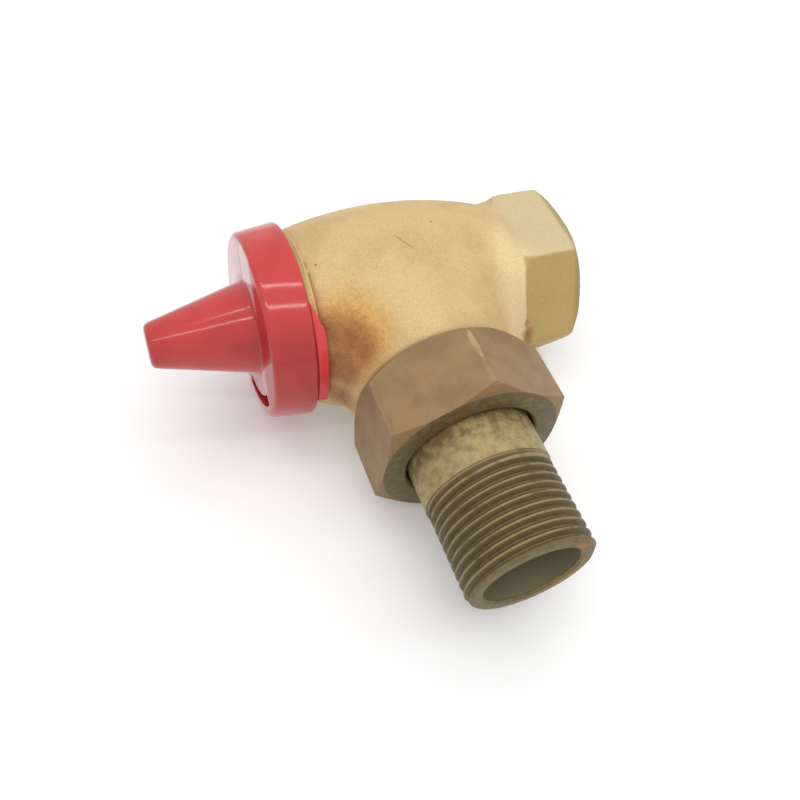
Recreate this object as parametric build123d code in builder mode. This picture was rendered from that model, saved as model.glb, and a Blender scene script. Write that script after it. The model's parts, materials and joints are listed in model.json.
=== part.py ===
"""Angle radiator valve: cast brass body, red protective cap, spring-opened valve insert
and a union nut that holds a threaded tailpiece.

The stem axis lies along X with the inlet mouth at the origin, facing +X, and the cap at -X.
The tailpiece points along -Y and +Z is up, so the valve lies as it would on a bench.
"""

import os
from math import cos, pi, radians, sin, tan

from build123d import *

# Reaches of the body, measured from the crossing of the stem axis and the tail axis
inlet_reach = 30.5
outlet_reach = 57.0
rim_reach = 19.6
boss_reach = 28.6
seat_reach = 7.0

# Cast body
chamber_radius = 12.8
barrel_wall = 4.5
waist_wall = 4.7
waist_reach = 17.8
inlet_bore_radius = 9.315
inlet_bore_depth = 14.0
inlet_mouth_chamfer = 0.4
inlet_flats = 27.0
inlet_hex_length = 10.0
hex_corner_round = 0.5
hex_chamfer_angle = 30.0
hex_collar_step = 0.2
outlet_bore_radius = 9.2
outlet_overlap = 2.0
boss_radius = 13.22
boss_chamfer = 0.8
boss_blend = 3.0
branch_root_radius = 16.2
branch_end_radius = 14.4
branch_nut_gap = 0.5
seat_bore_radius = 6.5
seat_lip_width = 1.6
seat_lip_height = 2.0
rim_width = 0.7
rim_step = 1.6
neck_radius = 13.6
neck_length = 2.6
neck_groove_width = 1.0
neck_groove_depth = 0.6

# Protective cap
cap_grip_clearance = 0.05
cap_rib_height = 0.45
cap_rib_width = 1.0
cap_rib_count = 12
cap_wall = 1.9
cap_front_wall = 1.8
cap_flare = 0.9
cap_edge_round = 0.9
cap_head_gap = 0.4
cap_rim_gap = 0.15
skirt_length = 0.8
skirt_step = 0.9
tab_reach = 1.5
tab_thickness = 1.15
tab_rim_gap = 0.4
tab_start_angle = 124.0
tab_end_angle = 188.0
tab_ramp_angle = 16.0
tab_count = 2
slot_width = 2.0
slot_start_angle = 210.0
slot_end_angle = 262.0
nose_base_radius = 8.1
nose_tip_radius = 3.7
nose_length = 17.3
nose_wall = 1.3
nose_base_round = 0.5
nose_tip_round = 0.7

# Valve insert with its gland
thread_clearance = 0.05
insert_thread_radius = 10.0
insert_thread_length = 8.0
insert_flats = 22.0
insert_head_height = 2.7
insert_tube_radius = 7.2
insert_tube_chamfer = 0.6
insert_ring_step = 0.5
insert_ring_section = 0.9
ring_room = 0.05
spring_bore_radius = 5.2
guide_floor = 2.6
cone_room = 4.2
gland_thread_radius = 5.6
gland_thread_length = 5.0
gland_depth = 8.4
gland_flats = 10.0
gland_head_height = 4.2
gland_ring_section = 0.6
pin_ring_section = 0.7
pin_ring_depth = 1.8
pin_radius = 1.5
pin_reach = 9.3
pin_tip_round = 0.6
running_clearance = 0.05
stop_gap = 0.05

# Spindle, return spring and valve cone
spindle_radius = 2.4
stud_radius = 1.6
stud_end = 0.6
stud_clearance = 0.02
bush_wall = 1.2
bush_flange_width = 1.0
bush_flange_thickness = 0.8
clip_margin = 0.7
clip_thickness = 0.5
clip_bite = 0.5
clip_width = 1.4
clip_gap_angle = 70.0
cup_flange_thickness = 0.8
cup_side_gap = 0.15
cup_hub_wall = 0.8
cup_hub_length = 2.2
wire_radius = 0.45
spring_turns = 4.5
spring_side_gap = 0.35
spring_end_gap = 0.02
lift = 2.2
seat_gap = 0.02
disc_thickness = 2.6
disc_embed = 1.4
disc_edge_gap = 0.05
disc_margin = 0.2
holder_floor = 2.2
holder_wall = 0.9
holder_hub_wall = 2.4
washer_thickness = 0.7
washer_margin = 1.2
disc_nut_flats = 6.0
disc_nut_height = 2.0

# Union nut and tailpiece
nut_flats = 30.0
nut_length = 12.4
nut_front_wall = 3.2
nut_chamfer_angle = 30.0
nut_clocking = 88.0
nut_thread_clearance = 0.1
nut_hole_clearance = 0.3
nut_mouth_chamfer = 0.8
collar_thickness = 2.4
collar_margin = 0.4
union_gap = 0.1
union_ring_section = 0.8
union_ring_edge = 0.8
shank_radius = 10.65
tail_thread_radius = 10.478
tail_thread_length = 15.6
tail_bore_radius = 7.9
tail_chamfer = 0.7
tail_bore_chamfer = 0.4

# Places along the stem axis, worked out from the sizes above
tail_x = -inlet_reach
rim_x = tail_x - rim_reach
cast_end_x = rim_x + rim_width
neck_top_x = rim_x - neck_length
head_top_x = neck_top_x - insert_head_height
insert_seat_x = neck_top_x + insert_thread_length
gland_top_x = head_top_x - gland_head_height
gland_thread_end_x = head_top_x + gland_thread_length
gland_bottom_x = head_top_x + gland_depth
pin_top_x = gland_top_x - pin_reach
spindle_top_x = gland_bottom_x + stop_gap
clip_x = spindle_top_x + clip_margin
cup_top_x = clip_x + clip_thickness
cup_bottom_x = cup_top_x + cup_flange_thickness
seat_x = tail_x + seat_reach
seat_floor_x = seat_x + seat_lip_height
disc_bottom_x = seat_x - lift - seat_gap
disc_top_x = disc_bottom_x - disc_thickness
holder_top_x = disc_top_x - holder_floor
holder_rim_x = disc_top_x + disc_embed
housing_bottom_x = holder_top_x - cone_room
spring_floor_x = housing_bottom_x - guide_floor
washer_bottom_x = disc_bottom_x + washer_thickness
disc_nut_bottom_x = washer_bottom_x + disc_nut_height
waist_x = tail_x + waist_reach
hex_start_x = -inlet_hex_length
inlet_bore_end_x = -inlet_bore_depth

# Radii that follow from the fits
rim_radius = neck_radius + rim_step
barrel_radius = chamber_radius + barrel_wall
waist_radius = inlet_bore_radius + waist_wall
seat_lip_radius = seat_bore_radius + seat_lip_width
insert_ring_bore = insert_thread_radius + insert_ring_step
insert_ring_mean = insert_ring_bore - ring_room - insert_ring_section
insert_groove_radius = insert_ring_mean - insert_ring_section - ring_room
insert_groove_length = 2 * (insert_ring_section + ring_room)
gland_ring_mean = spring_bore_radius - ring_room - gland_ring_section
gland_groove_radius = gland_ring_mean - gland_ring_section - ring_room
pin_ring_mean = pin_radius + ring_room + pin_ring_section
pin_groove_radius = pin_ring_mean + pin_ring_section + ring_room
bush_bore_radius = spindle_radius + running_clearance
bush_radius = bush_bore_radius + bush_wall
bush_flange_radius = bush_radius + bush_flange_width
clip_radius = spindle_radius - clip_bite
cup_radius = spring_bore_radius - cup_side_gap
spring_radius = spring_bore_radius - spring_side_gap - wire_radius
disc_radius = seat_lip_radius - disc_margin
holder_recess_radius = disc_radius + disc_edge_gap
holder_radius = holder_recess_radius + holder_wall
stud_hole_radius = stud_radius + stud_clearance
washer_radius = seat_bore_radius - washer_margin

# Places along the tail axis
collar_face_y = -(boss_reach + union_gap)
collar_back_y = collar_face_y - collar_thickness
nut_shoulder_y = collar_back_y - union_gap
nut_front_y = nut_shoulder_y - nut_front_wall
nut_rear_y = nut_front_y + nut_length
branch_end_y = nut_rear_y + branch_nut_gap
tail_end_y = -outlet_reach
thread_start_y = tail_end_y + tail_thread_length
collar_radius = boss_radius - collar_margin
nut_bore_radius = boss_radius + nut_thread_clearance
nut_hole_radius = max(tail_thread_radius, shank_radius) + nut_hole_clearance
union_ring_mean = collar_radius - union_ring_edge - union_ring_section
union_groove_depth = 2 * union_ring_section
union_groove_half = union_ring_section + ring_room

stem_axis = Axis.X
tail_axis = Axis((tail_x, 0, 0), (0, 1, 0))
HEX_SIDES = 6
FULL_TURN = 360.0
CUTTER_SCALE = 4


def hex_corner(flats):
    """Radius of a hexagon's corners from its width across flats."""
    return flats / 2 / cos(pi / HEX_SIDES)


def chamfer_drop(flats, angle):
    """Axial depth of a turned chamfer that starts on the flats and cuts the corners."""
    return (hex_corner(flats) - flats / 2) * tan(radians(angle))


def stem_profile(*points):
    """Closed outline of (x, radius) points, to turn about the stem axis."""
    with BuildSketch(Plane.XY) as outline:
        with BuildLine():
            Polyline(*points, close=True)
        make_face()
    return outline.sketch


def tail_profile(*points):
    """Closed outline of (radius, y) points, to turn about the tail axis."""
    with BuildSketch(Plane.XY) as outline:
        with BuildLine():
            Polyline(*[(tail_x + radius, y) for radius, y in points], close=True)
        make_face()
    return outline.sketch


def stem_ring(x, mean_radius, section):
    """Round section of a sealing ring, to turn about the stem axis."""
    with BuildSketch(Plane.XY) as section_face:
        with Locations((x, mean_radius)):
            Circle(section)
    return section_face.sketch


def stem_hexagon(x, flats):
    """Hexagon across the stem axis with its corners towards +Y and -Y."""
    with BuildSketch(Plane.YZ.offset(x)) as hexagon:
        RegularPolygon(radius=flats / 2, side_count=HEX_SIDES, major_radius=False)
    return hexagon.sketch


def stem_plane(angle):
    """Plane through the stem axis whose own Y points out at an angle from +Y towards +Z."""
    turn = radians(angle)
    return Plane(origin=(0, 0, 0), x_dir=(1, 0, 0), z_dir=(0, -sin(turn), cos(turn)))


def save(piece, name):
    """Label one finished piece and write it to its own file."""
    piece.part.label = name
    export_step(piece.part, f"parts/{name}.step")


os.makedirs("parts", exist_ok=True)

# Valve body: inlet hexagon, barrel with its neck, outlet branch, then the water ways and the seat
hex_corner_radius = hex_corner(inlet_flats)
hex_end_x = -chamfer_drop(inlet_flats, hex_chamfer_angle)
with BuildPart() as valve_body:
    extrude(stem_hexagon(hex_start_x, inlet_flats), amount=inlet_hex_length)
    fillet(valve_body.edges().filter_by(Axis.X), radius=hex_corner_round)
    revolve(
        stem_profile(
            (hex_start_x, 0),
            (hex_start_x, hex_corner_radius),
            (hex_end_x, hex_corner_radius),
            (0, inlet_flats / 2),
            (0, 0),
        ),
        axis=stem_axis,
        mode=Mode.INTERSECT,
    )
    with BuildSketch(Plane.XY) as barrel:
        with BuildLine():
            ThreePointArc((cast_end_x, rim_radius), (tail_x, barrel_radius), (waist_x, waist_radius))
            Polyline(
                (waist_x, waist_radius),
                (hex_start_x, hex_corner_radius - hex_collar_step),
                (hex_start_x, 0),
                (neck_top_x, 0),
                (neck_top_x, neck_radius),
                (rim_x, neck_radius),
                (rim_x, rim_radius),
                (cast_end_x, rim_radius),
            )
        make_face()
    revolve(barrel.sketch, axis=stem_axis)
    revolve(
        tail_profile(
            (0, 0),
            (branch_root_radius, 0),
            (branch_end_radius, branch_end_y),
            (boss_radius, branch_end_y),
            (boss_radius, -boss_reach),
            (0, -boss_reach),
        ),
        axis=tail_axis,
    )
    branch_joint = (
        valve_body.edges()
        .filter_by(GeomType.CIRCLE, reverse=True)
        .filter_by(lambda edge: edge.bounding_box().max.Y < 0)
        .filter_by(lambda edge: edge.bounding_box().size.X > boss_radius)
    )
    fillet(branch_joint, radius=boss_blend)
    chamfer(valve_body.faces().sort_by(Axis.Y)[0].edges(), length=boss_chamfer)
    revolve(
        stem_profile(
            (0, 0),
            (0, inlet_bore_radius + inlet_mouth_chamfer),
            (-inlet_mouth_chamfer, inlet_bore_radius),
            (inlet_bore_end_x, inlet_bore_radius),
            (inlet_bore_end_x - inlet_bore_radius + seat_bore_radius, seat_bore_radius),
            (seat_x, seat_bore_radius),
            (seat_x, seat_lip_radius),
            (seat_floor_x, seat_lip_radius),
            (seat_floor_x, chamber_radius),
            (insert_seat_x + chamber_radius - insert_thread_radius, chamber_radius),
            (insert_seat_x, insert_thread_radius),
            (neck_top_x + insert_groove_length, insert_thread_radius),
            (neck_top_x + insert_groove_length, insert_ring_bore),
            (neck_top_x, insert_ring_bore),
            (neck_top_x, 0),
        ),
        axis=stem_axis,
        mode=Mode.SUBTRACT,
    )
    with BuildSketch(Plane.XZ.offset(chamber_radius - outlet_overlap)) as outlet:
        with Locations((tail_x, 0)):
            Circle(outlet_bore_radius)
    extrude(outlet.sketch, amount=boss_reach - chamber_radius + outlet_overlap, mode=Mode.SUBTRACT)
    groove_x = (rim_x + neck_top_x) / 2
    revolve(
        stem_profile(
            (groove_x - neck_groove_width / 2, neck_radius),
            (groove_x - neck_groove_width / 2, neck_radius - neck_groove_depth),
            (groove_x + neck_groove_width / 2, neck_radius - neck_groove_depth),
            (groove_x + neck_groove_width / 2, neck_radius),
        ),
        axis=stem_axis,
        mode=Mode.SUBTRACT,
    )
save(valve_body, "valve_body")

# Protective cap: collar, hollow nose, grip ribs, an arc slot and two ramped tabs
cap_inner_x = head_top_x - cap_head_gap
cap_front_x = cap_inner_x - cap_front_wall
nose_tip_x = cap_front_x - nose_length
skirt_end_x = rim_x - cap_rim_gap
collar_rear_x = skirt_end_x - skirt_length
cap_rib_radius = neck_radius + cap_grip_clearance
cap_bore_radius = cap_rib_radius + cap_rib_height
collar_front_radius = cap_bore_radius + cap_wall
collar_rear_radius = collar_front_radius + cap_flare
skirt_radius = collar_rear_radius - skirt_step
tab_inner_radius = rim_radius + tab_rim_gap
tab_outer_radius = tab_inner_radius + tab_thickness
tab_end_x = skirt_end_x + tab_reach
tab_sweep = tab_end_angle - tab_start_angle
slot_radius = cap_bore_radius - slot_width / 2
slot_sweep = slot_end_angle - slot_start_angle
with BuildPart() as protective_cap:
    revolve(
        stem_profile(
            (skirt_end_x, 0),
            (skirt_end_x, skirt_radius),
            (collar_rear_x, skirt_radius),
            (collar_rear_x, collar_rear_radius),
            (cap_front_x, collar_front_radius),
            (cap_front_x, nose_base_radius),
            (nose_tip_x, nose_tip_radius),
            (nose_tip_x, 0),
        ),
        axis=stem_axis,
    )
    round_edges = protective_cap.edges().filter_by(GeomType.CIRCLE)
    fillet(round_edges.filter_by_position(Axis.X, nose_tip_x, nose_tip_x), radius=nose_tip_round)
    front_edges = protective_cap.edges().filter_by(GeomType.CIRCLE).filter_by_position(
        Axis.X, cap_front_x, cap_front_x
    ).sort_by(SortBy.RADIUS)
    fillet(front_edges[0], radius=nose_base_round)
    fillet(front_edges[-1], radius=cap_edge_round)
    for tab in range(tab_count):
        tab_start = tab_start_angle + tab * FULL_TURN / tab_count
        with BuildSketch(stem_plane(tab_start)) as tab_section:
            with BuildLine():
                Polyline(
                    (collar_rear_x, tab_inner_radius),
                    (collar_rear_x, tab_outer_radius),
                    (tab_end_x, tab_outer_radius),
                    (tab_end_x, tab_inner_radius),
                    close=True,
                )
            make_face()
        revolve(tab_section.sketch, axis=stem_axis, revolution_arc=tab_sweep)
        ramp_turn = radians(tab_start + tab_ramp_angle)
        ramp_edge = (tab_end_x, tab_outer_radius * cos(ramp_turn), tab_outer_radius * sin(ramp_turn))
        ramp_run = tab_outer_radius * sin(radians(tab_ramp_angle))
        ramp_plane = Plane(
            origin=ramp_edge,
            x_dir=(0, cos(ramp_turn), sin(ramp_turn)),
            z_dir=(ramp_run, tab_reach * sin(ramp_turn), -tab_reach * cos(ramp_turn)),
        )
        with Locations(ramp_plane):
            Box(
                CUTTER_SCALE * tab_thickness,
                CUTTER_SCALE * ramp_run,
                tab_reach,
                align=(Align.CENTER, Align.CENTER, Align.MIN),
                mode=Mode.SUBTRACT,
            )
    revolve(
        stem_profile(
            (skirt_end_x, 0),
            (skirt_end_x, cap_bore_radius),
            (cap_inner_x, cap_bore_radius),
            (cap_inner_x, nose_base_radius - nose_wall),
            (cap_front_x, nose_base_radius - nose_wall),
            (nose_tip_x + nose_wall, nose_tip_radius - nose_wall),
            (nose_tip_x + nose_wall, 0),
        ),
        axis=stem_axis,
        mode=Mode.SUBTRACT,
    )
    with BuildSketch(Plane.YZ.offset(cap_inner_x)) as ribs:
        with PolarLocations(cap_rib_radius, cap_rib_count):
            Rectangle(cap_rib_height + cap_wall / 2, cap_rib_width, align=(Align.MIN, Align.CENTER))
    extrude(ribs.sketch, amount=skirt_end_x - cap_inner_x)
    with BuildSketch(Plane.YZ.offset(cap_front_x)) as slot:
        SlotArc(
            CenterArc((0, 0), slot_radius, slot_start_angle, slot_sweep, mode=Mode.PRIVATE),
            height=slot_width,
        )
    extrude(slot.sketch, amount=cap_front_wall, mode=Mode.SUBTRACT)
save(protective_cap, "protective_cap")

# Insert housing: hexagon head, thread, guide tube, gland thread and spring bore
with BuildPart() as insert_housing:
    extrude(stem_hexagon(head_top_x, insert_flats), amount=insert_head_height)
    revolve(
        stem_profile(
            (head_top_x, 0),
            (head_top_x, insert_flats / 2),
            (head_top_x + chamfer_drop(insert_flats, hex_chamfer_angle), hex_corner(insert_flats)),
            (neck_top_x, hex_corner(insert_flats)),
            (neck_top_x, 0),
        ),
        axis=stem_axis,
        mode=Mode.INTERSECT,
    )
    revolve(
        stem_profile(
            (neck_top_x, 0),
            (neck_top_x, insert_groove_radius),
            (neck_top_x + insert_groove_length, insert_groove_radius),
            (neck_top_x + insert_groove_length, insert_thread_radius - thread_clearance),
            (insert_seat_x, insert_thread_radius - thread_clearance),
            (insert_seat_x, insert_tube_radius),
            (housing_bottom_x - insert_tube_chamfer, insert_tube_radius),
            (housing_bottom_x, insert_tube_radius - insert_tube_chamfer),
            (housing_bottom_x, 0),
        ),
        axis=stem_axis,
    )
    revolve(
        stem_profile(
            (head_top_x, 0),
            (head_top_x, gland_thread_radius),
            (gland_thread_end_x, gland_thread_radius),
            (gland_thread_end_x, spring_bore_radius),
            (spring_floor_x, spring_bore_radius),
            (spring_floor_x, bush_radius + stud_clearance),
            (housing_bottom_x, bush_radius + stud_clearance),
            (housing_bottom_x, 0),
        ),
        axis=stem_axis,
        mode=Mode.SUBTRACT,
    )
save(insert_housing, "insert_housing")

# Sealing ring between the insert and the neck
with BuildPart() as insert_o_ring:
    revolve(stem_ring(neck_top_x + insert_groove_length / 2, insert_ring_mean, insert_ring_section),
            axis=stem_axis)
save(insert_o_ring, "insert_o_ring")

# Gland nut: hexagon head, thread, outer ring groove, pin bore and inner ring groove
gland_ring_x = (gland_thread_end_x + gland_bottom_x) / 2
gland_ring_half = gland_ring_section + ring_room
pin_ring_x = head_top_x + pin_ring_depth
pin_ring_half = pin_ring_section + ring_room
pin_bore_radius = pin_radius + running_clearance
gland_body_radius = spring_bore_radius - thread_clearance
with BuildPart() as gland_nut:
    extrude(stem_hexagon(gland_top_x, gland_flats), amount=gland_head_height)
    revolve(
        stem_profile(
            (gland_top_x, 0),
            (gland_top_x, gland_flats / 2),
            (gland_top_x + chamfer_drop(gland_flats, hex_chamfer_angle), hex_corner(gland_flats)),
            (head_top_x, hex_corner(gland_flats)),
            (head_top_x, 0),
        ),
        axis=stem_axis,
        mode=Mode.INTERSECT,
    )
    revolve(
        stem_profile(
            (head_top_x, 0),
            (head_top_x, gland_thread_radius - thread_clearance),
            (gland_thread_end_x - thread_clearance, gland_thread_radius - thread_clearance),
            (gland_thread_end_x - thread_clearance, gland_body_radius),
            (gland_ring_x - gland_ring_half, gland_body_radius),
            (gland_ring_x - gland_ring_half, gland_groove_radius),
            (gland_ring_x + gland_ring_half, gland_groove_radius),
            (gland_ring_x + gland_ring_half, gland_body_radius),
            (gland_bottom_x, gland_body_radius),
            (gland_bottom_x, 0),
        ),
        axis=stem_axis,
    )
    revolve(
        stem_profile(
            (gland_top_x, 0),
            (gland_top_x, pin_bore_radius),
            (pin_ring_x - pin_ring_half, pin_bore_radius),
            (pin_ring_x - pin_ring_half, pin_groove_radius),
            (pin_ring_x + pin_ring_half, pin_groove_radius),
            (pin_ring_x + pin_ring_half, pin_bore_radius),
            (gland_bottom_x, pin_bore_radius),
            (gland_bottom_x, 0),
        ),
        axis=stem_axis,
        mode=Mode.SUBTRACT,
    )
save(gland_nut, "gland_nut")

# Sealing ring round the gland nut
with BuildPart() as gland_o_ring:
    revolve(stem_ring(gland_ring_x, gland_ring_mean, gland_ring_section), axis=stem_axis)
save(gland_o_ring, "gland_o_ring")

# Sealing ring round the pressure pin
with BuildPart() as pin_o_ring:
    revolve(stem_ring(pin_ring_x, pin_ring_mean, pin_ring_section), axis=stem_axis)
save(pin_o_ring, "pin_o_ring")

# Pressure pin that an actuator head pushes on
with BuildPart() as pressure_pin:
    revolve(
        stem_profile(
            (pin_top_x, 0),
            (pin_top_x, pin_radius),
            (spindle_top_x, pin_radius),
            (spindle_top_x, 0),
        ),
        axis=stem_axis,
    )
    fillet(pressure_pin.edges().filter_by_position(Axis.X, pin_top_x, pin_top_x), radius=pin_tip_round)
save(pressure_pin, "pressure_pin")

# Spindle with its clip groove and the stud that carries the valve cone
with BuildPart() as spindle:
    revolve(
        stem_profile(
            (spindle_top_x, 0),
            (spindle_top_x, spindle_radius),
            (clip_x, spindle_radius),
            (clip_x, clip_radius),
            (cup_top_x, clip_radius),
            (cup_top_x, spindle_radius),
            (holder_top_x, spindle_radius),
            (holder_top_x, stud_radius),
            (disc_nut_bottom_x + stud_end, stud_radius),
            (disc_nut_bottom_x + stud_end, 0),
        ),
        axis=stem_axis,
    )
save(spindle, "spindle")

# Open spring clip that holds the spring cup on the spindle
with BuildPart() as retaining_clip:
    with BuildSketch(stem_plane(clip_gap_angle / 2)) as clip_section:
        with BuildLine():
            Polyline(
                (clip_x, clip_radius),
                (clip_x, clip_radius + clip_width),
                (cup_top_x, clip_radius + clip_width),
                (cup_top_x, clip_radius),
                close=True,
            )
        make_face()
    revolve(clip_section.sketch, axis=stem_axis, revolution_arc=FULL_TURN - clip_gap_angle)
save(retaining_clip, "retaining_clip")

# Flanged cup on top of the return spring
with BuildPart() as spring_cup:
    revolve(
        stem_profile(
            (cup_top_x, spindle_radius + stud_clearance),
            (cup_top_x, cup_radius),
            (cup_bottom_x, cup_radius),
            (cup_bottom_x, spindle_radius + cup_hub_wall),
            (cup_bottom_x + cup_hub_length, spindle_radius + cup_hub_wall),
            (cup_bottom_x + cup_hub_length, spindle_radius + stud_clearance),
        ),
        axis=stem_axis,
    )
save(spring_cup, "spring_cup")

# Return spring between the cup and the floor of the housing
spring_start_x = cup_bottom_x + spring_end_gap + wire_radius
spring_height = spring_floor_x - spring_end_gap - wire_radius - spring_start_x
with BuildPart() as return_spring:
    with BuildLine() as coil:
        Helix(
            pitch=spring_height / spring_turns,
            height=spring_height,
            radius=spring_radius,
            center=(spring_start_x, 0, 0),
            direction=(1, 0, 0),
        )
    with BuildSketch(Plane(origin=coil.line @ 0, z_dir=coil.line % 0)) as wire:
        Circle(wire_radius)
    sweep(wire.sketch, path=coil.line, is_frenet=True)
save(return_spring, "return_spring")

# Flanged bush that guides the spindle through the floor of the housing
with BuildPart() as guide_bush:
    revolve(
        stem_profile(
            (spring_floor_x, bush_bore_radius),
            (spring_floor_x, bush_radius),
            (housing_bottom_x, bush_radius),
            (housing_bottom_x, bush_flange_radius),
            (housing_bottom_x + bush_flange_thickness, bush_flange_radius),
            (housing_bottom_x + bush_flange_thickness, bush_bore_radius),
        ),
        axis=stem_axis,
    )
save(guide_bush, "guide_bush")

# Valve cone: the brass holder of the seat disc
with BuildPart() as valve_cone:
    revolve(
        stem_profile(
            (holder_top_x, stud_hole_radius),
            (holder_top_x, stud_radius + holder_hub_wall),
            (disc_top_x, holder_radius),
            (holder_rim_x, holder_radius),
            (holder_rim_x, holder_recess_radius),
            (disc_top_x, holder_recess_radius),
            (disc_top_x, stud_hole_radius),
        ),
        axis=stem_axis,
    )
save(valve_cone, "valve_cone")

# Rubber disc that closes on the seat
with BuildPart() as seat_disc:
    revolve(
        stem_profile(
            (disc_top_x, stud_hole_radius),
            (disc_top_x, disc_radius),
            (disc_bottom_x, disc_radius),
            (disc_bottom_x, stud_hole_radius),
        ),
        axis=stem_axis,
    )
save(seat_disc, "seat_disc")

# Washer under the seat disc
with BuildPart() as disc_washer:
    revolve(
        stem_profile(
            (disc_bottom_x, stud_hole_radius),
            (disc_bottom_x, washer_radius),
            (washer_bottom_x, washer_radius),
            (washer_bottom_x, stud_hole_radius),
        ),
        axis=stem_axis,
    )
save(disc_washer, "disc_washer")

# Small hexagon nut on the spindle's stud
with BuildPart() as disc_nut:
    extrude(stem_hexagon(washer_bottom_x, disc_nut_flats), amount=disc_nut_height)
    with Locations(Plane.YZ.offset(washer_bottom_x)):
        Cylinder(
            stud_hole_radius,
            disc_nut_height,
            align=(Align.CENTER, Align.CENTER, Align.MIN),
            mode=Mode.SUBTRACT,
        )
save(disc_nut, "disc_nut")

# Union nut: hexagon with both ends chamfered, thread bore, shoulder and shank hole
nut_corner_radius = hex_corner(nut_flats)
nut_drop = chamfer_drop(nut_flats, nut_chamfer_angle)
with BuildPart() as union_nut:
    with BuildSketch(Plane.XZ.offset(-nut_rear_y)) as nut_hexagon:
        with Locations((tail_x, 0)):
            RegularPolygon(
                radius=nut_flats / 2, side_count=HEX_SIDES, major_radius=False, rotation=nut_clocking
            )
    extrude(nut_hexagon.sketch, amount=nut_length)
    revolve(
        tail_profile(
            (0, nut_rear_y),
            (nut_flats / 2, nut_rear_y),
            (nut_corner_radius, nut_rear_y - nut_drop),
            (nut_corner_radius, nut_front_y + nut_drop),
            (nut_flats / 2, nut_front_y),
            (0, nut_front_y),
        ),
        axis=tail_axis,
        mode=Mode.INTERSECT,
    )
    revolve(
        tail_profile(
            (0, nut_rear_y),
            (nut_bore_radius + nut_mouth_chamfer, nut_rear_y),
            (nut_bore_radius, nut_rear_y - nut_mouth_chamfer),
            (nut_bore_radius, nut_shoulder_y),
            (nut_hole_radius, nut_shoulder_y),
            (nut_hole_radius, nut_front_y),
            (0, nut_front_y),
        ),
        axis=tail_axis,
        mode=Mode.SUBTRACT,
    )
save(union_nut, "union_nut")

# Tailpiece: collar with its ring groove, smooth shank and threaded end
with BuildPart() as tailpiece:
    revolve(
        tail_profile(
            (tail_bore_radius, collar_face_y),
            (union_ring_mean - union_groove_half, collar_face_y),
            (union_ring_mean - union_groove_half, collar_face_y - union_groove_depth),
            (union_ring_mean + union_groove_half, collar_face_y - union_groove_depth),
            (union_ring_mean + union_groove_half, collar_face_y),
            (collar_radius, collar_face_y),
            (collar_radius, collar_back_y),
            (shank_radius, collar_back_y),
            (shank_radius, thread_start_y),
            (tail_thread_radius, thread_start_y),
            (tail_thread_radius, tail_end_y + tail_chamfer),
            (tail_thread_radius - tail_chamfer, tail_end_y),
            (tail_bore_radius + tail_bore_chamfer, tail_end_y),
            (tail_bore_radius, tail_end_y + tail_bore_chamfer),
        ),
        axis=tail_axis,
    )
save(tailpiece, "tailpiece")

# Sealing ring in the collar's face
with BuildPart() as union_o_ring:
    with BuildSketch(Plane.XY) as union_ring_face:
        with Locations((tail_x + union_ring_mean, collar_face_y - union_ring_section)):
            Circle(union_ring_section)
    revolve(union_ring_face.sketch, axis=tail_axis)
save(union_o_ring, "union_o_ring")
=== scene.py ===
import json
from math import cos, hypot, pi, radians, sin, sqrt, tan

import bmesh
import bpy
from bpy.props import FloatProperty, FloatVectorProperty, IntProperty, PointerProperty
from bpy.types import Operator, Panel, PropertyGroup
from mathutils import Matrix, Vector, noise


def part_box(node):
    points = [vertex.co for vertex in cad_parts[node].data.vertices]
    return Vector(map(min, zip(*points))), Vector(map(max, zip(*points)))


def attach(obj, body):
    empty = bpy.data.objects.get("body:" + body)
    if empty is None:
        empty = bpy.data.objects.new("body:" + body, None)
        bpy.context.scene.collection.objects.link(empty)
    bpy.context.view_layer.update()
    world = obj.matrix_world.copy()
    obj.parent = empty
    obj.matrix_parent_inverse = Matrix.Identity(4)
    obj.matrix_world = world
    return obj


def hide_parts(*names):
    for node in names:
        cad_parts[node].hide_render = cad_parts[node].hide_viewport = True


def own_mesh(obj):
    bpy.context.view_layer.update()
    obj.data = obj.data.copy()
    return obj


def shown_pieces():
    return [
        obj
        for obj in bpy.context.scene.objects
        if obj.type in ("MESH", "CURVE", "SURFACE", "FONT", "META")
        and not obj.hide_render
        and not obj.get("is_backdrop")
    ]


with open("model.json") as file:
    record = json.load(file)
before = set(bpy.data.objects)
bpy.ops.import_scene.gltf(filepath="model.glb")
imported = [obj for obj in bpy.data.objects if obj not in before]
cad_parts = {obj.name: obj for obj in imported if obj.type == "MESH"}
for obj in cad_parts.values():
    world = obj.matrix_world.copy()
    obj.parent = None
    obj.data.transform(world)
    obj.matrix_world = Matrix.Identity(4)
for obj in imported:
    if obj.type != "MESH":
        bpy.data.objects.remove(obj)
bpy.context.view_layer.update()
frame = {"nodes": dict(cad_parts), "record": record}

bl_info = {
    "name": "Angle radiator valve",
    "version": (1, 0, 0),
    "blender": (4, 5, 0),
    "location": "View3D > Sidebar > Valve",
    "description": "Dresses the CAD frame of an angle radiator valve with cast, turned and moulded pieces",
    "category": "Object",
}

MM = 0.001
FULL_TURN = 2 * pi
HEX_SIDES = 6
LATHE_STEPS = 144
THREAD_STEPS = 72
THREAD_ROOT_FLAT = 0.14
THREAD_CREST_FLAT = 0.12
THREAD_OVERCUT = 0.1
THREAD_MERGE = 0.0005 * MM
PIPE_RUNOUT = 1.0
TAIL_RUNOUT = 0.8
ARC_POINTS = 49
TAB_STEPS = 24
NUT_BLANK_MARGIN = 1.03
RIM_TOOL_REACH = 1.5
SLOT_END_ROUND = 0.48
SEEN_RAYS = ("Is Camera Ray", "Is Glossy Ray", "Is Transmission Ray")
SENSOR_WIDTH = 36
NEAR_CLIP = 1 * MM

# Place of the soft overhead light from the valve's centre, in metres
KEY_HEIGHT = 0.5
KEY_AWAY = 0.05
KEY_RIGHT = 0.1

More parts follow.
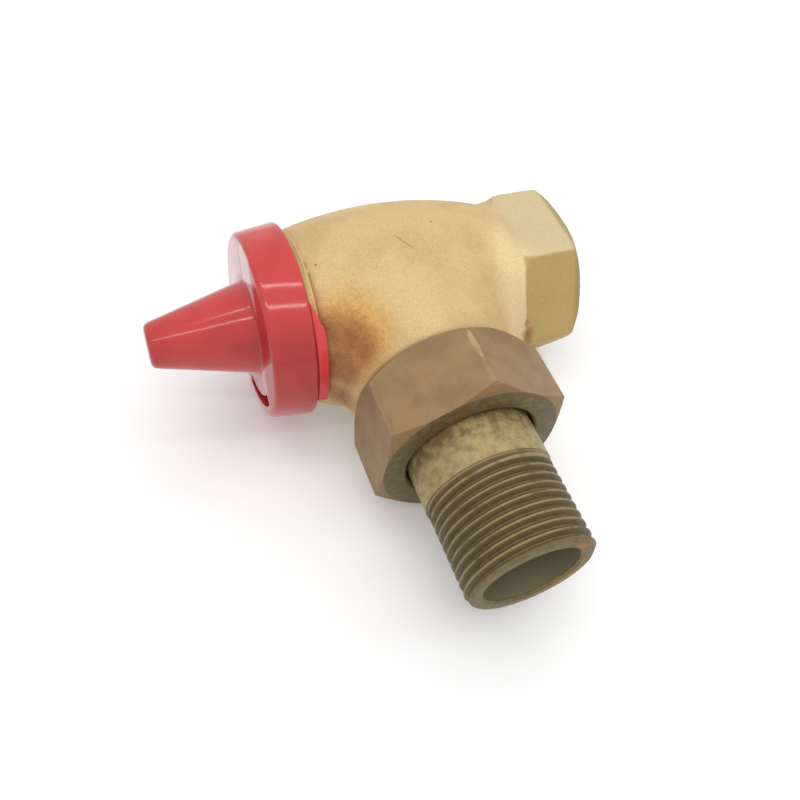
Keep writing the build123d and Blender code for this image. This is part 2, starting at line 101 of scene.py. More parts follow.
# Rounds of smoothing on the casting, and how far round a fill or a step they reach
CAST_SOFTENING = 8
FILL_SOFTENING = 40
FILL_MARGIN = 5
STEP_SOFTENING = 10
HEX_SOFT_REACH = 2.0 * MM
FLAT_SOFTENING = 3
FLAT_SOFT_CELLS = 1.5
SMOOTH_SHARE = 0.5

# Lengths of the casting's slow bumps
LONG_SWELL = 3 * MM
SHORT_SWELL = 1.1 * MM

# Marks on the casting, in millimetres: the spot, its full radius and the radius where it has faded
TARNISH_SPOTS = (
    ((-47.2, -12.2, 9.8), 0.4, 4.6),
    ((-44.9, -13.6, 8.8), 1.2, 5.6),
    ((-42.9, -15.8, 8.2), 0.8, 4.8),
    ((-45.9, -15.2, 4.5), 1.8, 6.0),
    ((-45.5, -16.0, -1.0), 1.0, 6.0),
    ((-10.8, -15.0, 1.7), 0.0, 1.8),
    ((-11.3, -14.4, 3.6), 0.0, 1.2),
)
PIT_SPOTS = (
    ((-47.5, -3.0, 15.4), 0.1, 0.3),
    ((-26.1, 0.7, 17.0), 0.1, 0.28),
    ((-21.5, -1.6, 16.2), 0.1, 0.32),
)
SCRATCH_ENDS = ((-33.7, -1.2, 17.3), (-31.1, -4.6, 16.7))
SCRATCH_WIDTH = 0.3
WARM_SPOT = ((-45.0, -13.5, 9.0), 3.5, 10.5)
FLECK_SPOTS = (
    ((-46.1, -15.9, 2.0), 0.2, 0.8),
    ((-46.3, -15.8, 3.6), 0.1, 0.5),
)

# Where the casting's finishes start and are full, in millimetres along an axis or out from it
UPPER_LEAN = 0.35
UPPER_EDGE = (10.5, 11.0)
FLAT_EDGE = (-11.8, -11.0)
FLAT_BLEND = (-14.5, -9.0)
# FACING_FADE and FLARE_RISE place the painted highlight on the flare's near side.
FACING_FADE = (5.0, 13.0)
FLARE_RISE = (-19.5, -14.5)
END_RIM = (-1.9, -0.9)
NECK_EDGE = (-49.3, -49.45)
INLET_WALL = (10.75, 10.45)
INLET_FLOOR = (-15.5, -14.5)
BOSS_EDGE = (-20.9, -21.0)
CHAMBER_WALL = (13.0, 12.6)
CHAMBER_EDGE = (-13.0, -15.0)

# The same for the nut, the tailpiece and the cap
NUT_CORNER = (17.0, 17.3)
NUT_FRONT = (-34.2, -34.36)
NUT_FRONT_RIM = (15.2, 14.9)
NUT_FACET = (-33.5, -34.0)
NUT_FACET_RIM = (15.1, 15.5)
NUT_BORE_WALL = (13.6, 13.3)
NUT_BORE_END = (-34.3, -34.1)
SHANK_SHADE = (-38.5, -35.5)
THREAD_EDGE = 0.2
CREST_EDGE = (10.3, 10.42)
TAIL_END = (-56.2, -56.5)
TAIL_END_RIM = (10.35, 10.15)
TAIL_BORE_WALL = (8.1, 7.95)
TAIL_BORE_END = (-56.6, -56.3)
RUST_SIDE = (-30.0, -26.0)
CAP_FACE_START = (-57.8, -57.64)
CAP_FACE_STOP = (-57.3, -57.5)
CAP_FACE_INNER = (8.7, 9.5)
CAP_FACE_OUTER = (15.7, 15.0)
# CAP_WALL, CAP_FLOOR and TAB_EDGE place painted light: lighter red inside the cap and on its thin tabs.
CAP_WALL = (14.3, 14.1)
CAP_FLOOR = (-57.4, -57.1)
TAB_EDGE = (-50.4, -50.2)
# These two place the painted reflection on the cap's front face, most on the near side and less towards the
# bottom.
REFLECTION_SIDE = (9.0, 6.5)
REFLECTION_LOW = (0.0, -9.0)
SEAM_FADE = (-0.1, 0.1)
SEAM_SIDE = (0.0, 1.0)
SEAM_GROOVE = (0.35, 0.1)

# The streak on the nut's upper corner, partly wear and partly a painted highlight, in millimetres
WORN_HIGHLIGHT_ENDS = ((-29.9, -23.2, 17.3), (-29.9, -28.6, 17.3))
WORN_HIGHLIGHT_WIDTH = 1.2

# Direction of the moulding seam across the cap's front face
SEAM_Y = sin(radians(62))
SEAM_Z = cos(radians(62))

# Direction from the stem axis to the branch's side, leaning upwards, and how much a spot on the waist faces
# that way where its fill starts and where it is full
NEAR_Y = cos(radians(30))
NEAR_Z = sin(radians(30))
WAIST_FADE = (0.2, 0.8)

# CAD nodes that keep their own shape, by the finish that they get
INSERT_NODES = {
    "turned_brass": ("insert_housing", "gland_nut", "spring_cup", "valve_cone", "disc_washer", "disc_nut"),
    "black_rubber": ("insert_o_ring", "gland_o_ring", "pin_o_ring", "seat_disc", "union_o_ring"),
    "stainless_steel": ("pressure_pin", "spindle", "retaining_clip"),
    "white_plastic": ("guide_bush",),
}

# Main places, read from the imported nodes
BODY_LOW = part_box("valve_body")[0]
CAP_LOW, CAP_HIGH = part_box("protective_cap")
NUT_LOW, NUT_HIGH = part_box("union_nut")
TAIL_LOW, TAIL_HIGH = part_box("tailpiece")
SPRING_LOW, SPRING_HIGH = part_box("return_spring")
TAIL_X = (TAIL_LOW.x + TAIL_HIGH.x) / 2
MOUNTS = {mount["name"]: mount["dims"] for mount in frame["record"]["mounts"]}
LIFT = next(j["range_m"][1] for j in frame["record"]["behaviour"]["joints"] if j["name"] == "stem_press")


def length(name, description, default):
    """A size that the sidebar shows as a distance."""
    return FloatProperty(name=name, description=description, default=default, unit="LENGTH", precision=5)


def angle(name, description, default):
    """An angle, given in degrees and kept in radians."""
    return FloatProperty(name=name, description=description, default=radians(default), subtype="ANGLE")


def fraction(name, description, default):
    """A share between nothing and all."""
    return FloatProperty(name=name, description=description, default=default, min=0, max=1, subtype="FACTOR")


def power(name, description, default):
    """A lamp's power in watts."""
    return FloatProperty(name=name, description=description, default=default, unit="POWER")


def tint(name, description, red, green, blue):
    """A colour, given as the 0 to 255 numbers that a screen shows and kept as linear light."""
    linear = [((level / 255 + 0.055) / 1.055) ** 2.4 for level in (red, green, blue)]
    return FloatVectorProperty(
        name=name, description=description, default=linear, size=3, min=0, max=1, subtype="COLOR"
    )


class BodySizes(PropertyGroup):
    """Sizes of the cast body, its turned ends and its water ways."""

    barrel_radius: length("Barrel radius", "Radius of the barrel over the tail axis", 17.3 * MM)
    rim_radius: length("Rim radius", "Radius of the turned rim behind the cap", 15.2 * MM)
    rim_width: length("Rim width", "Width of the turned rim", 0.7 * MM)
    neck_radius: length("Neck radius", "Radius of the turned neck that the cap sits on", 13.6 * MM)
    neck_length: length("Neck length", "Length of the turned neck", 2.6 * MM)
    groove_width: length("Neck groove width", "Width of the groove round the neck", 1.0 * MM)
    groove_depth: length("Neck groove depth", "Depth of the groove round the neck", 0.6 * MM)
    waist_radius: length("Waist radius", "Radius of the waist before the inlet's collar", 14.2 * MM)
    waist_reach: length("Waist reach", "Distance from the tail axis to the waist", 18.8 * MM)
    inlet_flats: length("Inlet flats", "Width across the flats of the inlet hexagon", 27.9 * MM)
    flat_reach: length("Flat reach", "How far the milled flats run from the inlet's end", 11.5 * MM)
    hex_length: length("Hexagon length", "Length of the inlet hexagon", 10.2 * MM)
    hex_collar: length("Collar step", "How far the collar stays under the hexagon's corners", 1.1 * MM)
    hex_corner_round: length("Hexagon corner round", "Rounding along the hexagon's corners", 0.3 * MM)
    hex_chamfer: angle("Hexagon chamfer", "Angle of the turned chamfer at the hexagon's end", 36.0)
    inlet_depth: length("Inlet depth", "Depth of the inlet's thread bore", 14.0 * MM)
    mouth_chamfer: length("Inlet mouth chamfer", "Chamfer at the mouth of the inlet", 0.4 * MM)
    seat_bore: length("Seat bore radius", "Radius of the bore through the seat", 6.5 * MM)
    seat_reach: length("Seat reach", "Distance from the tail axis to the seat", 7.0 * MM)
    seat_lip: length("Seat lip width", "Width of the seat's raised lip", 1.6 * MM)
    seat_height: length("Seat lip height", "Height of the seat's raised lip", 2.0 * MM)
    chamber_radius: length("Chamber radius", "Radius of the chamber in the barrel", 12.8 * MM)
    insert_bore: length("Insert bore radius", "Radius of the thread for the insert", 10.0 * MM)
    insert_length: length("Insert thread length", "Length of the thread for the insert", 8.0 * MM)
    ring_bore: length("Ring seat radius", "Radius of the seat for the insert's ring", 10.5 * MM)
    ring_depth: length("Ring seat depth", "Depth of the seat for the insert's ring", 1.9 * MM)
    boss_radius: length("Boss radius", "Radius of the threaded outlet boss", 13.22 * MM)
    boss_chamfer: length("Boss chamfer", "Chamfer at the end of the boss", 0.8 * MM)
    boss_root: length("Boss root", "Distance from the stem axis to the boss's turned part", 20.9 * MM)
    branch_root: length("Branch root radius", "Radius of the cast outlet branch at the stem axis", 16.2 * MM)
    branch_end: length("Branch end radius", "Radius of the cast outlet branch behind the nut", 14.4 * MM)
    branch_blend: length("Branch blend", "Reach of the soft corner between barrel and branch", 7.0 * MM)
    outlet_radius: length("Outlet bore radius", "Radius of the bore through the boss", 9.2 * MM)
    shoulder_reach: length("Shoulder reach", "Distance from the tail axis to the shoulder", 11.0 * MM)
    voxel: length("Casting cell", "Cell size that melts the rough castings into one skin", 0.4 * MM)
    waviness: length("Casting waviness", "Height of the casting's slow bumps", 0.045 * MM)


class CapSizes(PropertyGroup):
    """Sizes of the moulded protective cap."""

    nose_length: length("Nose length", "Length of the hollow nose", 17.3 * MM)
    nose_base: length("Nose base radius", "Radius of the nose at the front face", 8.1 * MM)
    nose_tip: length("Nose tip radius", "Radius of the nose at its tip", 3.7 * MM)
    nose_wall: length("Nose wall", "Wall of the nose", 1.3 * MM)
    front_wall: length("Front wall", "Wall of the front face", 1.8 * MM)
    bore_radius: length("Bore radius", "Radius inside the collar", 14.1 * MM)
    rib_radius: length("Rib radius", "Radius inside the grip ribs", 13.65 * MM)
    rib_width: length("Rib width", "Width of a grip rib", 1.0 * MM)
    rib_count: IntProperty(name="Rib count", description="Number of grip ribs", default=12, min=1)
    collar_front: length("Collar front radius", "Radius of the collar at the front", 16.0 * MM)
    collar_rear: length("Collar rear radius", "Radius of the collar at the rear", CAP_HIGH.y)
    skirt_radius: length("Skirt radius", "Radius of the skirt behind the collar", 16.0 * MM)
    skirt_length: length("Skirt length", "Length of the skirt", 0.15 * MM)
    tab_reach: length("Tab reach", "How far a tab reaches past the skirt", 1.5 * MM)
    tab_inner: length("Tab inner radius", "Radius inside a tab", 15.6 * MM)
    tab_outer: length("Tab outer radius", "Radius outside a tab", 16.75 * MM)
    tab_start: angle("Tab start", "Angle at which the first tab starts, from +Y towards +Z", 124.0)
    tab_sweep: angle("Tab sweep", "Angle that a tab covers", 64.0)
    tab_ramp: angle("Tab ramp", "Angle that a tab's ramp covers", 16.0)
    tab_count: IntProperty(name="Tab count", description="Number of tabs", default=2, min=1)
    slot_start: angle("Slot start", "Angle at which the slot's middle line starts", 210.0)
    slot_sweep: angle("Slot sweep", "Angle that the slot's middle line covers", 52.0)
    slot_width: length("Slot width", "Width of the slot", 2.0 * MM)
    front_round: length("Front edge round", "Rounding of the front edge", 0.9 * MM)
    rear_round: length("Rear edge round", "Rounding of the collar's rear edge", 0.45 * MM)
    nose_base_round: length("Nose base round", "Fillet round the nose", 0.5 * MM)
    nose_tip_round: length("Nose tip round", "Rounding of the tip", 0.9 * MM)
    edge_round: length("Edge round", "Rounding of the other edges", 0.22 * MM)


class UnionSizes(PropertyGroup):
    """Sizes of the union nut, the tailpiece and their threads."""

    nut_flats: length("Nut flats", "Width across the nut's flats", 30.0 * MM)
    nut_bore: length("Nut bore radius", "Radius of the nut's thread bore", 13.32 * MM)
    nut_hole: length("Nut hole radius", "Radius of the hole for the shank", 11.2 * MM)
    nut_front_wall: length("Nut front wall", "Thickness of the nut's shoulder", 3.2 * MM)
    nut_clocking: angle("Nut clocking", "Angle of the nut's first corner from +X towards +Z", 88.0)
    chamfer: angle("Nut chamfer", "Angle of the chamfer at the nut's front", 26.0)
    rear_chamfer: angle("Nut rear chamfer", "Angle of the deeper chamfer at the nut's rear", 45.0)
    rear_reach: length("Nut rear reach", "How far the nut's rear reaches past the solid's", 0.9 * MM)
    mouth_chamfer: length("Nut mouth chamfer", "Chamfer at the thread's mouth", 0.8 * MM)
    corner_round: length("Nut edge round", "Wear along the nut's edges", 0.3 * MM)
    collar: length("Collar thickness", "Thickness of the tailpiece's collar", 2.4 * MM)
    ring_mean: length("Ring groove radius", "Middle radius of the groove in the collar", 11.22 * MM)
    ring_half: length("Ring groove half width", "Half the groove's width", 0.85 * MM)
    ring_depth: length("Ring groove depth", "Depth of the groove", 1.6 * MM)
    shank_radius: length("Shank radius", "Radius of the smooth shank", 10.65 * MM)
    bore_radius: length("Tail bore radius", "Radius of the tailpiece's bore", 7.9 * MM)
    thread_length: length("Tail thread length", "Length of the tailpiece's thread", 15.6 * MM)
    thread_pitch: length("Tail thread pitch", "Pitch of the tail thread, as counted in the photo", 1.56 * MM)
    thread_depth: length("Tail thread depth", "Depth of the tail thread", 0.75 * MM)
    end_chamfer: length("Tail end chamfer", "Chamfer at the end of the thread", 0.7 * MM)
    bore_chamfer: length("Tail bore chamfer", "Chamfer at the mouth of the bore", 0.4 * MM)
    edge_round: length("Tail edge round", "Wear along the turned edges", 0.12 * MM)
    pipe_pitch: length("Pipe thread pitch", "Pitch of the inlet's and the union's threads", 1.814 * MM)
    pipe_depth: length("Pipe thread depth", "Depth of the inlet's and the boss's threads", 1.16 * MM)


class FinishColours(PropertyGroup):
    """Colours of the valve's finishes."""

    cast_light: tint("Cast brass, light", "Sand-blasted brass where it is clean", 210, 184, 134)
    cast_deep: tint("Cast brass, deep", "Sand-blasted brass where it is darker", 200, 172, 122)
    cast_gold: tint("Cast brass, gold", "Warmer brass towards the cap", 212, 160, 80)
    cast_speck: tint("Cast brass, speck", "Brown specks left by the blasting grit", 164, 122, 72)
    # Bright grit specks, and also the painted highlight on the flare's near side.
    cast_glint_and_painted_highlight: tint("Cast brass, glint", "Bright specks left by the blasting grit", 240, 222, 176)
    cast_tarnish: tint("Cast brass, tarnish", "Reddish brown tarnish", 144, 84, 56)
    cast_pit: tint("Cast brass, pit", "Dark pits in the casting", 88, 67, 46)
    cast_fleck: tint("Cast brass, fleck", "Clean yellow flecks in the tarnish", 226, 194, 92)
    # Painted sheen: this grey stands in for light on the hexagon's top flats.
    flat_painted_sheen: tint("Hexagon, grey", "Pale greyish sheen on top of the inlet hexagon", 204, 189, 150)
    flat_olive: tint("Hexagon, olive", "Olive brass round the inlet hexagon", 180, 154, 90)
    flat_rim: tint("Hexagon, rim", "Darker olive brass round the hexagon's end", 160, 138, 92)
    turned: tint("Turned brass", "Bright turned brass", 180, 162, 98)
    turned_deep: tint("Turned brass, deep", "Turned brass between the tool marks", 146, 124, 66)
    nut_brown: tint("Nut brass", "Brown satin tarnish of the nut", 150, 123, 87)
    nut_dark: tint("Nut brass, dark", "Darker stains on the nut", 130, 104, 72)
    # Bright brass of real wear on all corners, and also the painted highlight along the streak on the top
    # corner.
    nut_worn_and_highlight: tint("Nut brass, worn", "Bright brass along worn corners", 204, 181, 132)
    nut_olive: tint("Nut brass, olive", "Dark olive front of the nut", 100, 88, 58)
    nut_gold: tint("Nut brass, gold", "Golden brown on the front chamfer", 150, 114, 66)
    nut_front: tint("Nut front, light", "Lighter smears on the nut's front", 134, 110, 72)
    shank_pale: tint("Shank brass", "Pale mottled brass of the shank", 172, 154, 106)
    shank_olive: tint("Shank brass, olive", "Darker mottling of the shank", 130, 111, 76)
    # Partly real brown stains and partly painted shade where the nut shades the shank.
    shank_stain_and_shade: tint("Shank brass, brown", "Brown stains on the shank by the nut", 112, 90, 60)
    thread_dark: tint("Thread brass", "Dark olive brass in the thread", 111, 96, 67)
    # Painted highlight along the thread's crests.
    crest_highlight: tint("Thread crest", "Bright brass along the thread's crests", 197, 178, 128)
    end_olive: tint("Tail end, olive", "Greenish grey tarnish of the tail's end", 122, 110, 76)
    end_orange: tint("Tail end, orange", "Orange brown stain on the tail's end", 160, 117, 67)
    bore_dark: tint("Bore brass", "Dark brass inside the bores", 142, 134, 106)
    cap_red: tint("Cap red", "Red of the moulded cap", 198, 56, 54)
    cap_deep: tint("Cap red, deep", "Deeper red of the moulded cap", 182, 45, 44)
    # Painted reflection on the cap's front face, in a pale and a deeper tone.
    cap_painted_reflection: tint("Cap front, bloom", "Pale bloom on the cap's front face", 240, 206, 212)
    cap_painted_reflection_deep: tint("Cap front, deep bloom", "Deeper bloom on the cap's front face", 224, 178, 190)
    # Painted light: this lighter red stands in for light shining through the thin tabs and into the cap.
    cap_tab: tint("Cap tab", "Lighter red of the thin tabs", 220, 62, 64)
    rubber: tint("Rubber", "Black rubber", 34, 33, 32)
    rubber_bloom: tint("Rubber bloom", "Grey bloom on the rubber", 62, 60, 58)
    steel: tint("Stainless steel", "Bright stainless steel", 202, 202, 200)
    steel_deep: tint("Stainless steel, deep", "Stainless steel between the marks", 160, 160, 160)
    bush_white: tint("White plastic", "White low-friction plastic", 236, 234, 226)
    bush_shade: tint("White plastic, shade", "Cloudy shade in the white plastic", 214, 211, 200)


class StageSizes(PropertyGroup):
    """The floor that the valve lies on, the light and the camera."""

    floor_size: length("Floor size", "Side of the square floor", 3.0)
    floor_tilt: FloatVectorProperty(
        name="Floor normal",
        description="Direction away from the floor, which barrel, nut and hexagon rest on",
        default=(-0.137, 0.015, 0.990),
        subtype="DIRECTION",
    )
    floor_glow: fraction("Floor glow", "Share of white light in the floor as the camera sees it", 0.2)
    azimuth: angle("Camera azimuth", "Turn of the camera about the Z axis", -31.233)
    elevation: angle("Camera elevation", "Height angle of the camera", 52.88)
    roll: angle("Camera roll", "Roll of the camera, which is level with the floor", 12.595)
    aim_right: length("Camera aim, right", "Shift of the aim to the right of the axes' crossing", 0.854 * MM)
    aim_up: length("Camera aim, up", "Shift of the aim above the axes' crossing", -18.466 * MM)
    distance: length("Camera distance", "Distance from the camera to its aim", 147.459 * MM)
    lens: FloatProperty(
        name="Lens", description="Focal length on a 36 mm wide sensor", default=36.33, unit="CAMERA"
    )
    key_size: length("Key light size", "Side of the soft overhead light", 0.7)
    key_power: power("Key light power", "Power of the soft overhead light", 2.3)
    strip_length: length("Strip light length", "Length of a ceiling strip light", 0.5)
    strip_width: length("Strip light width", "Width of a ceiling strip light", 0.02)
    strip_distance: length("Strip light distance", "Distance from the valve to a strip light", 0.6)
    strip_lean: angle("Strip light lean", "Angle from the first strip light to the second, nearer one", 24.0)
    strip_power: power("Strip light power", "Power of a ceiling strip light", 0.35)
    fill: fraction("Fill", "Brightness of the light from all around", 0.45)


class Turning:
    """An axis that outlines of (place along the axis, radius) are spun about."""

    def __init__(self, centre, along, out):
        self.centre = Vector(centre)
        self.along = Vector(along)
        self.out = Vector(out)

    def point(self, place, radius):
        return self.centre + self.along * place + self.out * radius

    def place_and_radius(self, point):
        place = (point - self.centre).dot(self.along)
        return place, (point - self.centre - self.along * place).length

    def outline(self, bm, spots, closed):
        verts = [bm.verts.new(self.point(*spot)) for spot in spots]
        pairs = list(zip(verts, verts[1:]))
        if closed:
            pairs.append((verts[-1], verts[0]))
        return verts + [bm.edges.new(pair) for pair in pairs]

    def spin(self, bm, spots, closed=True):
        """Turn an outline right round into a closed skin."""
        bmesh.ops.spin(
            bm,
            geom=self.outline(bm, spots, closed),
            cent=self.centre,
            axis=self.along,
            dvec=(0, 0, 0),
            angle=FULL_TURN,
            steps=LATHE_STEPS,
            use_merge=True,
        )
        close_skin(bm)

    def sweep(self, bm, spots, start, turn, steps, climb=0.0):
        """Turn a closed outline part of the way, or along a helix that climbs by an amount at each step."""
        rest = self.outline(bm, spots, True)
        verts = [item for item in rest if isinstance(item, bmesh.types.BMVert)]
        bmesh.ops.rotate(bm, verts=verts, cent=self.centre, matrix=Matrix.Rotation(start, 3, self.along))
        bmesh.ops.spin(
            bm,
            geom=rest,
            cent=self.centre,
            axis=self.along,
            dvec=self.along * climb,
            angle=turn,
            steps=steps,
        )
        bmesh.ops.holes_fill(bm, edges=[edge for edge in bm.edges if edge.is_boundary], sides=0)
        close_skin(bm)

    def ring(self, bm, place, radius, slack=0.01 * MM):
        """The edges of one circle of a spun skin."""
        def on_ring(vert):
            at, out = self.place_and_radius(vert.co)
            return abs(at - place) < slack and abs(out - radius) < slack

        return [edge for edge in bm.edges if all(on_ring(vert) for vert in edge.verts)]


STEM = Turning((0, 0, 0), (1, 0, 0), (0, 1, 0))
TAIL = Turning((TAIL_X, 0, 0), (0, 1, 0), (1, 0, 0))


def close_skin(bm, slack=0.001 * MM):
    """Merge the seam and poles of a spun shape and turn its faces outwards."""
    bmesh.ops.remove_doubles(bm, verts=bm.verts, dist=slack)
    bmesh.ops.dissolve_degenerate(bm, edges=bm.edges, dist=slack)
    bmesh.ops.recalc_face_normals(bm, faces=bm.faces)


def round_edges(bm, edges, width, segments=3):
    """Round or fillet a set of edges."""
    bmesh.ops.bevel(
        bm,
        geom=edges,
        offset=width,
        offset_type="OFFSET",
        affect="EDGES",
        segments=segments,
        profile=0.5,
        material=-1,
        clamp_overlap=True,
    )


def sharp_edges(bm, least=radians(30)):
    """The edges whose two faces meet at more than an angle."""
    return [edge for edge in bm.edges if len(edge.link_faces) == 2 and edge.calc_face_angle() > least]


def arc_through(start, middle, end, count):
    """Points on the circle through three (place, radius) points, both ends included."""
    (ax, ay), (bx, by), (cx, cy) = start, middle, end
    twice_area = 2 * (ax * (by - cy) + bx * (cy - ay) + cx * (ay - by))
    aa, bb, cc = ax * ax + ay * ay, bx * bx + by * by, cx * cx + cy * cy
    x = (aa * (by - cy) + bb * (cy - ay) + cc * (ay - by)) / twice_area
    y = (aa * (cx - bx) + bb * (ax - cx) + cc * (bx - ax)) / twice_area
    radius = hypot(ax - x, ay - y)
    places = [ax + (cx - ax) * step / (count - 1) for step in range(count)]
    return [(place, y + sqrt(radius * radius - (place - x) ** 2)) for place in places]


def placed(spot, right, over, back):
    """The matrix that sets an object at a spot, with its own X, Y and Z along three directions."""
    return Matrix.Translation(spot) @ Matrix((right, over, back)).transposed().to_4x4()


def hexagon(bm, turning, flats, start, end, clocking):
    """A closed hexagon bar along a turning axis, with its first corner at an angle from the outline side."""
    across = turning.along.cross(turning.out)
    place = placed(turning.point(start, 0), turning.out, across, turning.along)
    place = place @ Matrix.Rotation(clocking - pi / 2, 4, "Z")
    corner = flats / 2 / cos(pi / HEX_SIDES)
    made = bmesh.ops.create_circle(bm, cap_ends=True, segments=HEX_SIDES, radius=corner, matrix=place)
    base = [face for face in bm.faces if all(vert in made["verts"] for vert in face.verts)]
    grown = bmesh.ops.extrude_face_region(bm, geom=base, use_keep_orig=True)
    moved = [item for item in grown["geom"] if isinstance(item, bmesh.types.BMVert)]
    bmesh.ops.translate(bm, verts=moved, vec=turning.along * (end - start))
    bmesh.ops.recalc_face_normals(bm, faces=bm.faces)


def along_axis(turning, edge):
    """True for an edge that runs along a turning axis."""
    run = edge.verts[1].co - edge.verts[0].co
    return abs(run.normalized().dot(turning.along)) > cos(radians(1))


def solid(name, bm):
    """A mesh object from a finished bmesh."""
    mesh = bpy.data.meshes.new(name)
    bm.to_mesh(mesh)
    bm.free()
    piece = bpy.data.objects.new(name, mesh)
    bpy.context.collection.objects.link(piece)
    return piece


def bake_modifiers(piece):
    """Replace a piece's mesh by what its modifiers make of it."""
    graph = bpy.context.evaluated_depsgraph_get()
    made = bpy.data.meshes.new_from_object(piece.evaluated_get(graph))
    before = piece.data
    piece.modifiers.clear()
    piece.data = made
    bpy.data.meshes.remove(before)


def combine(piece, tool, operation):
    """Cut, join or intersect a piece with a tool, which is used up."""
    cut = piece.modifiers.new(operation.lower(), "BOOLEAN")
    cut.operation = operation
    cut.solver = "MANIFOLD"
    cut.object = tool
    bake_modifiers(piece)
    bpy.data.objects.remove(tool)
    if not piece.data.polygons:
        raise RuntimeError(f"{piece.name} is empty after {operation}")


def turned_tool(turning, spots):
    """A turned solid whose outline starts and ends on the axis, used to cut or to join."""
    bm = bmesh.new()
    turning.spin(bm, spots, False)
    return solid("tool", bm)


def thread_tool(turning, start, end, crest, root, pitch, runout_turns=0.0):
    """A helical V ridge between two places, which cuts a right-hand thread from crest to root radius."""
    depth = root - crest
    half_flat = pitch * THREAD_ROOT_FLAT / 2
    half_mouth = pitch * (1 - THREAD_CREST_FLAT) / 2
    flank = (half_mouth - half_flat) * THREAD_OVERCUT
    spots = [
        (start - half_mouth - flank, crest - depth * THREAD_OVERCUT),
        (start - half_flat, root),
        (start + half_flat, root),
        (start + half_mouth + flank, crest - depth * THREAD_OVERCUT),
    ]
    turns = (end - start) / pitch
    steps = round(abs(turns) * THREAD_STEPS)
    bm = bmesh.new()
    turning.sweep(bm, spots, 0.0, FULL_TURN * turns, steps, (end - start) / steps)
    if runout_turns:
        for vert in bm.verts:
            place, _ = turning.place_and_radius(vert.co)
            share = max(0.0, 1 - abs(end - place) / (pitch * runout_turns))
            outwards = (vert.co - turning.point(place, 0)).normalized()
            vert.co -= outwards * depth * (1 + THREAD_OVERCUT) * share
    return solid("thread", bm)


def shade(piece, least=radians(28)):
    """Smooth shading with crisp edges kept where faces meet at more than an angle."""
    bm = bmesh.new()
    bm.from_mesh(piece.data)
    bmesh.ops.remove_doubles(bm, verts=bm.verts, dist=THREAD_MERGE)
    bmesh.ops.dissolve_degenerate(bm, edges=bm.edges, dist=THREAD_MERGE)
    for face in bm.faces:
        face.smooth = True
    for edge in bm.edges:
        edge.smooth = len(edge.link_faces) == 2 and edge.calc_face_angle() < least
    bm.to_mesh(piece.data)
    bm.free()


def dress(piece, material, slot, body, *nodes):
    """Give a finished piece its material, its body and the CAD nodes it stands for. The slot is not used."""
    piece.data.materials.clear()
    piece.data.materials.append(material)
    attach(piece, body)
    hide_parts(*nodes)


class Signal:
    """An output socket in a shader tree. Arithmetic on it adds Math nodes, and node() adds any node."""

    def __init__(self, tree, socket=None):
        self.tree = tree
        self.socket = socket

    def node(self, kind, settings=None, sockets=None, output=0):
        made = self.tree.nodes.new(kind)
        for key, value in (settings or {}).items():
            if key == "stops":
                for element, (position, colour) in zip(made.color_ramp.elements, value):
                    element.position = position
                    element.color = (*colour, 1)
            else:
                setattr(made, key, value)
        for key, value in (sockets or {}).items():
            entry = made.inputs[key]
            if isinstance(value, Signal):
                self.tree.links.new(value.socket, entry)
            elif entry.type == "RGBA" and len(value) == 3:
                entry.default_value = (*value, 1)
            else:
                entry.default_value = value
        return Signal(self.tree, made.outputs[output] if made.outputs else None)

    def math(self, operation, *operands):
        return self.node("ShaderNodeMath", {"operation": operation}, dict(enumerate(operands)))

    def __add__(self, other):
        return self.math("ADD", self, other)

    def __radd__(self, other):
        return self.math("ADD", other, self)

    def __sub__(self, other):
        return self.math("SUBTRACT", self, other)

    def __rsub__(self, other):
        return self.math("SUBTRACT", other, self)

    def __mul__(self, other):
        return self.math("MULTIPLY", self, other)

    def __rmul__(self, other):
        return self.math("MULTIPLY", other, self)

    def __pow__(self, other):
        return self.math("POWER", self, other)

    def largest(self, other):
        return self.math("MAXIMUM", self, other)

    def ramp(self, low, high):
        """0 below low, 1 above high and smooth between; low may be the larger one."""
        settings = {"interpolation_type": "SMOOTHSTEP"}
        return self.node("ShaderNodeMapRange", settings, {0: self, 1: low, 2: high, 3: 0.0, 4: 1.0})

    def mix(self, colour, other):
        """From one colour to another as this signal goes from 0 to 1."""
        return self.node("ShaderNodeMix", {"data_type": "RGBA"}, {0: self, 6: colour, 7: other}, 2)


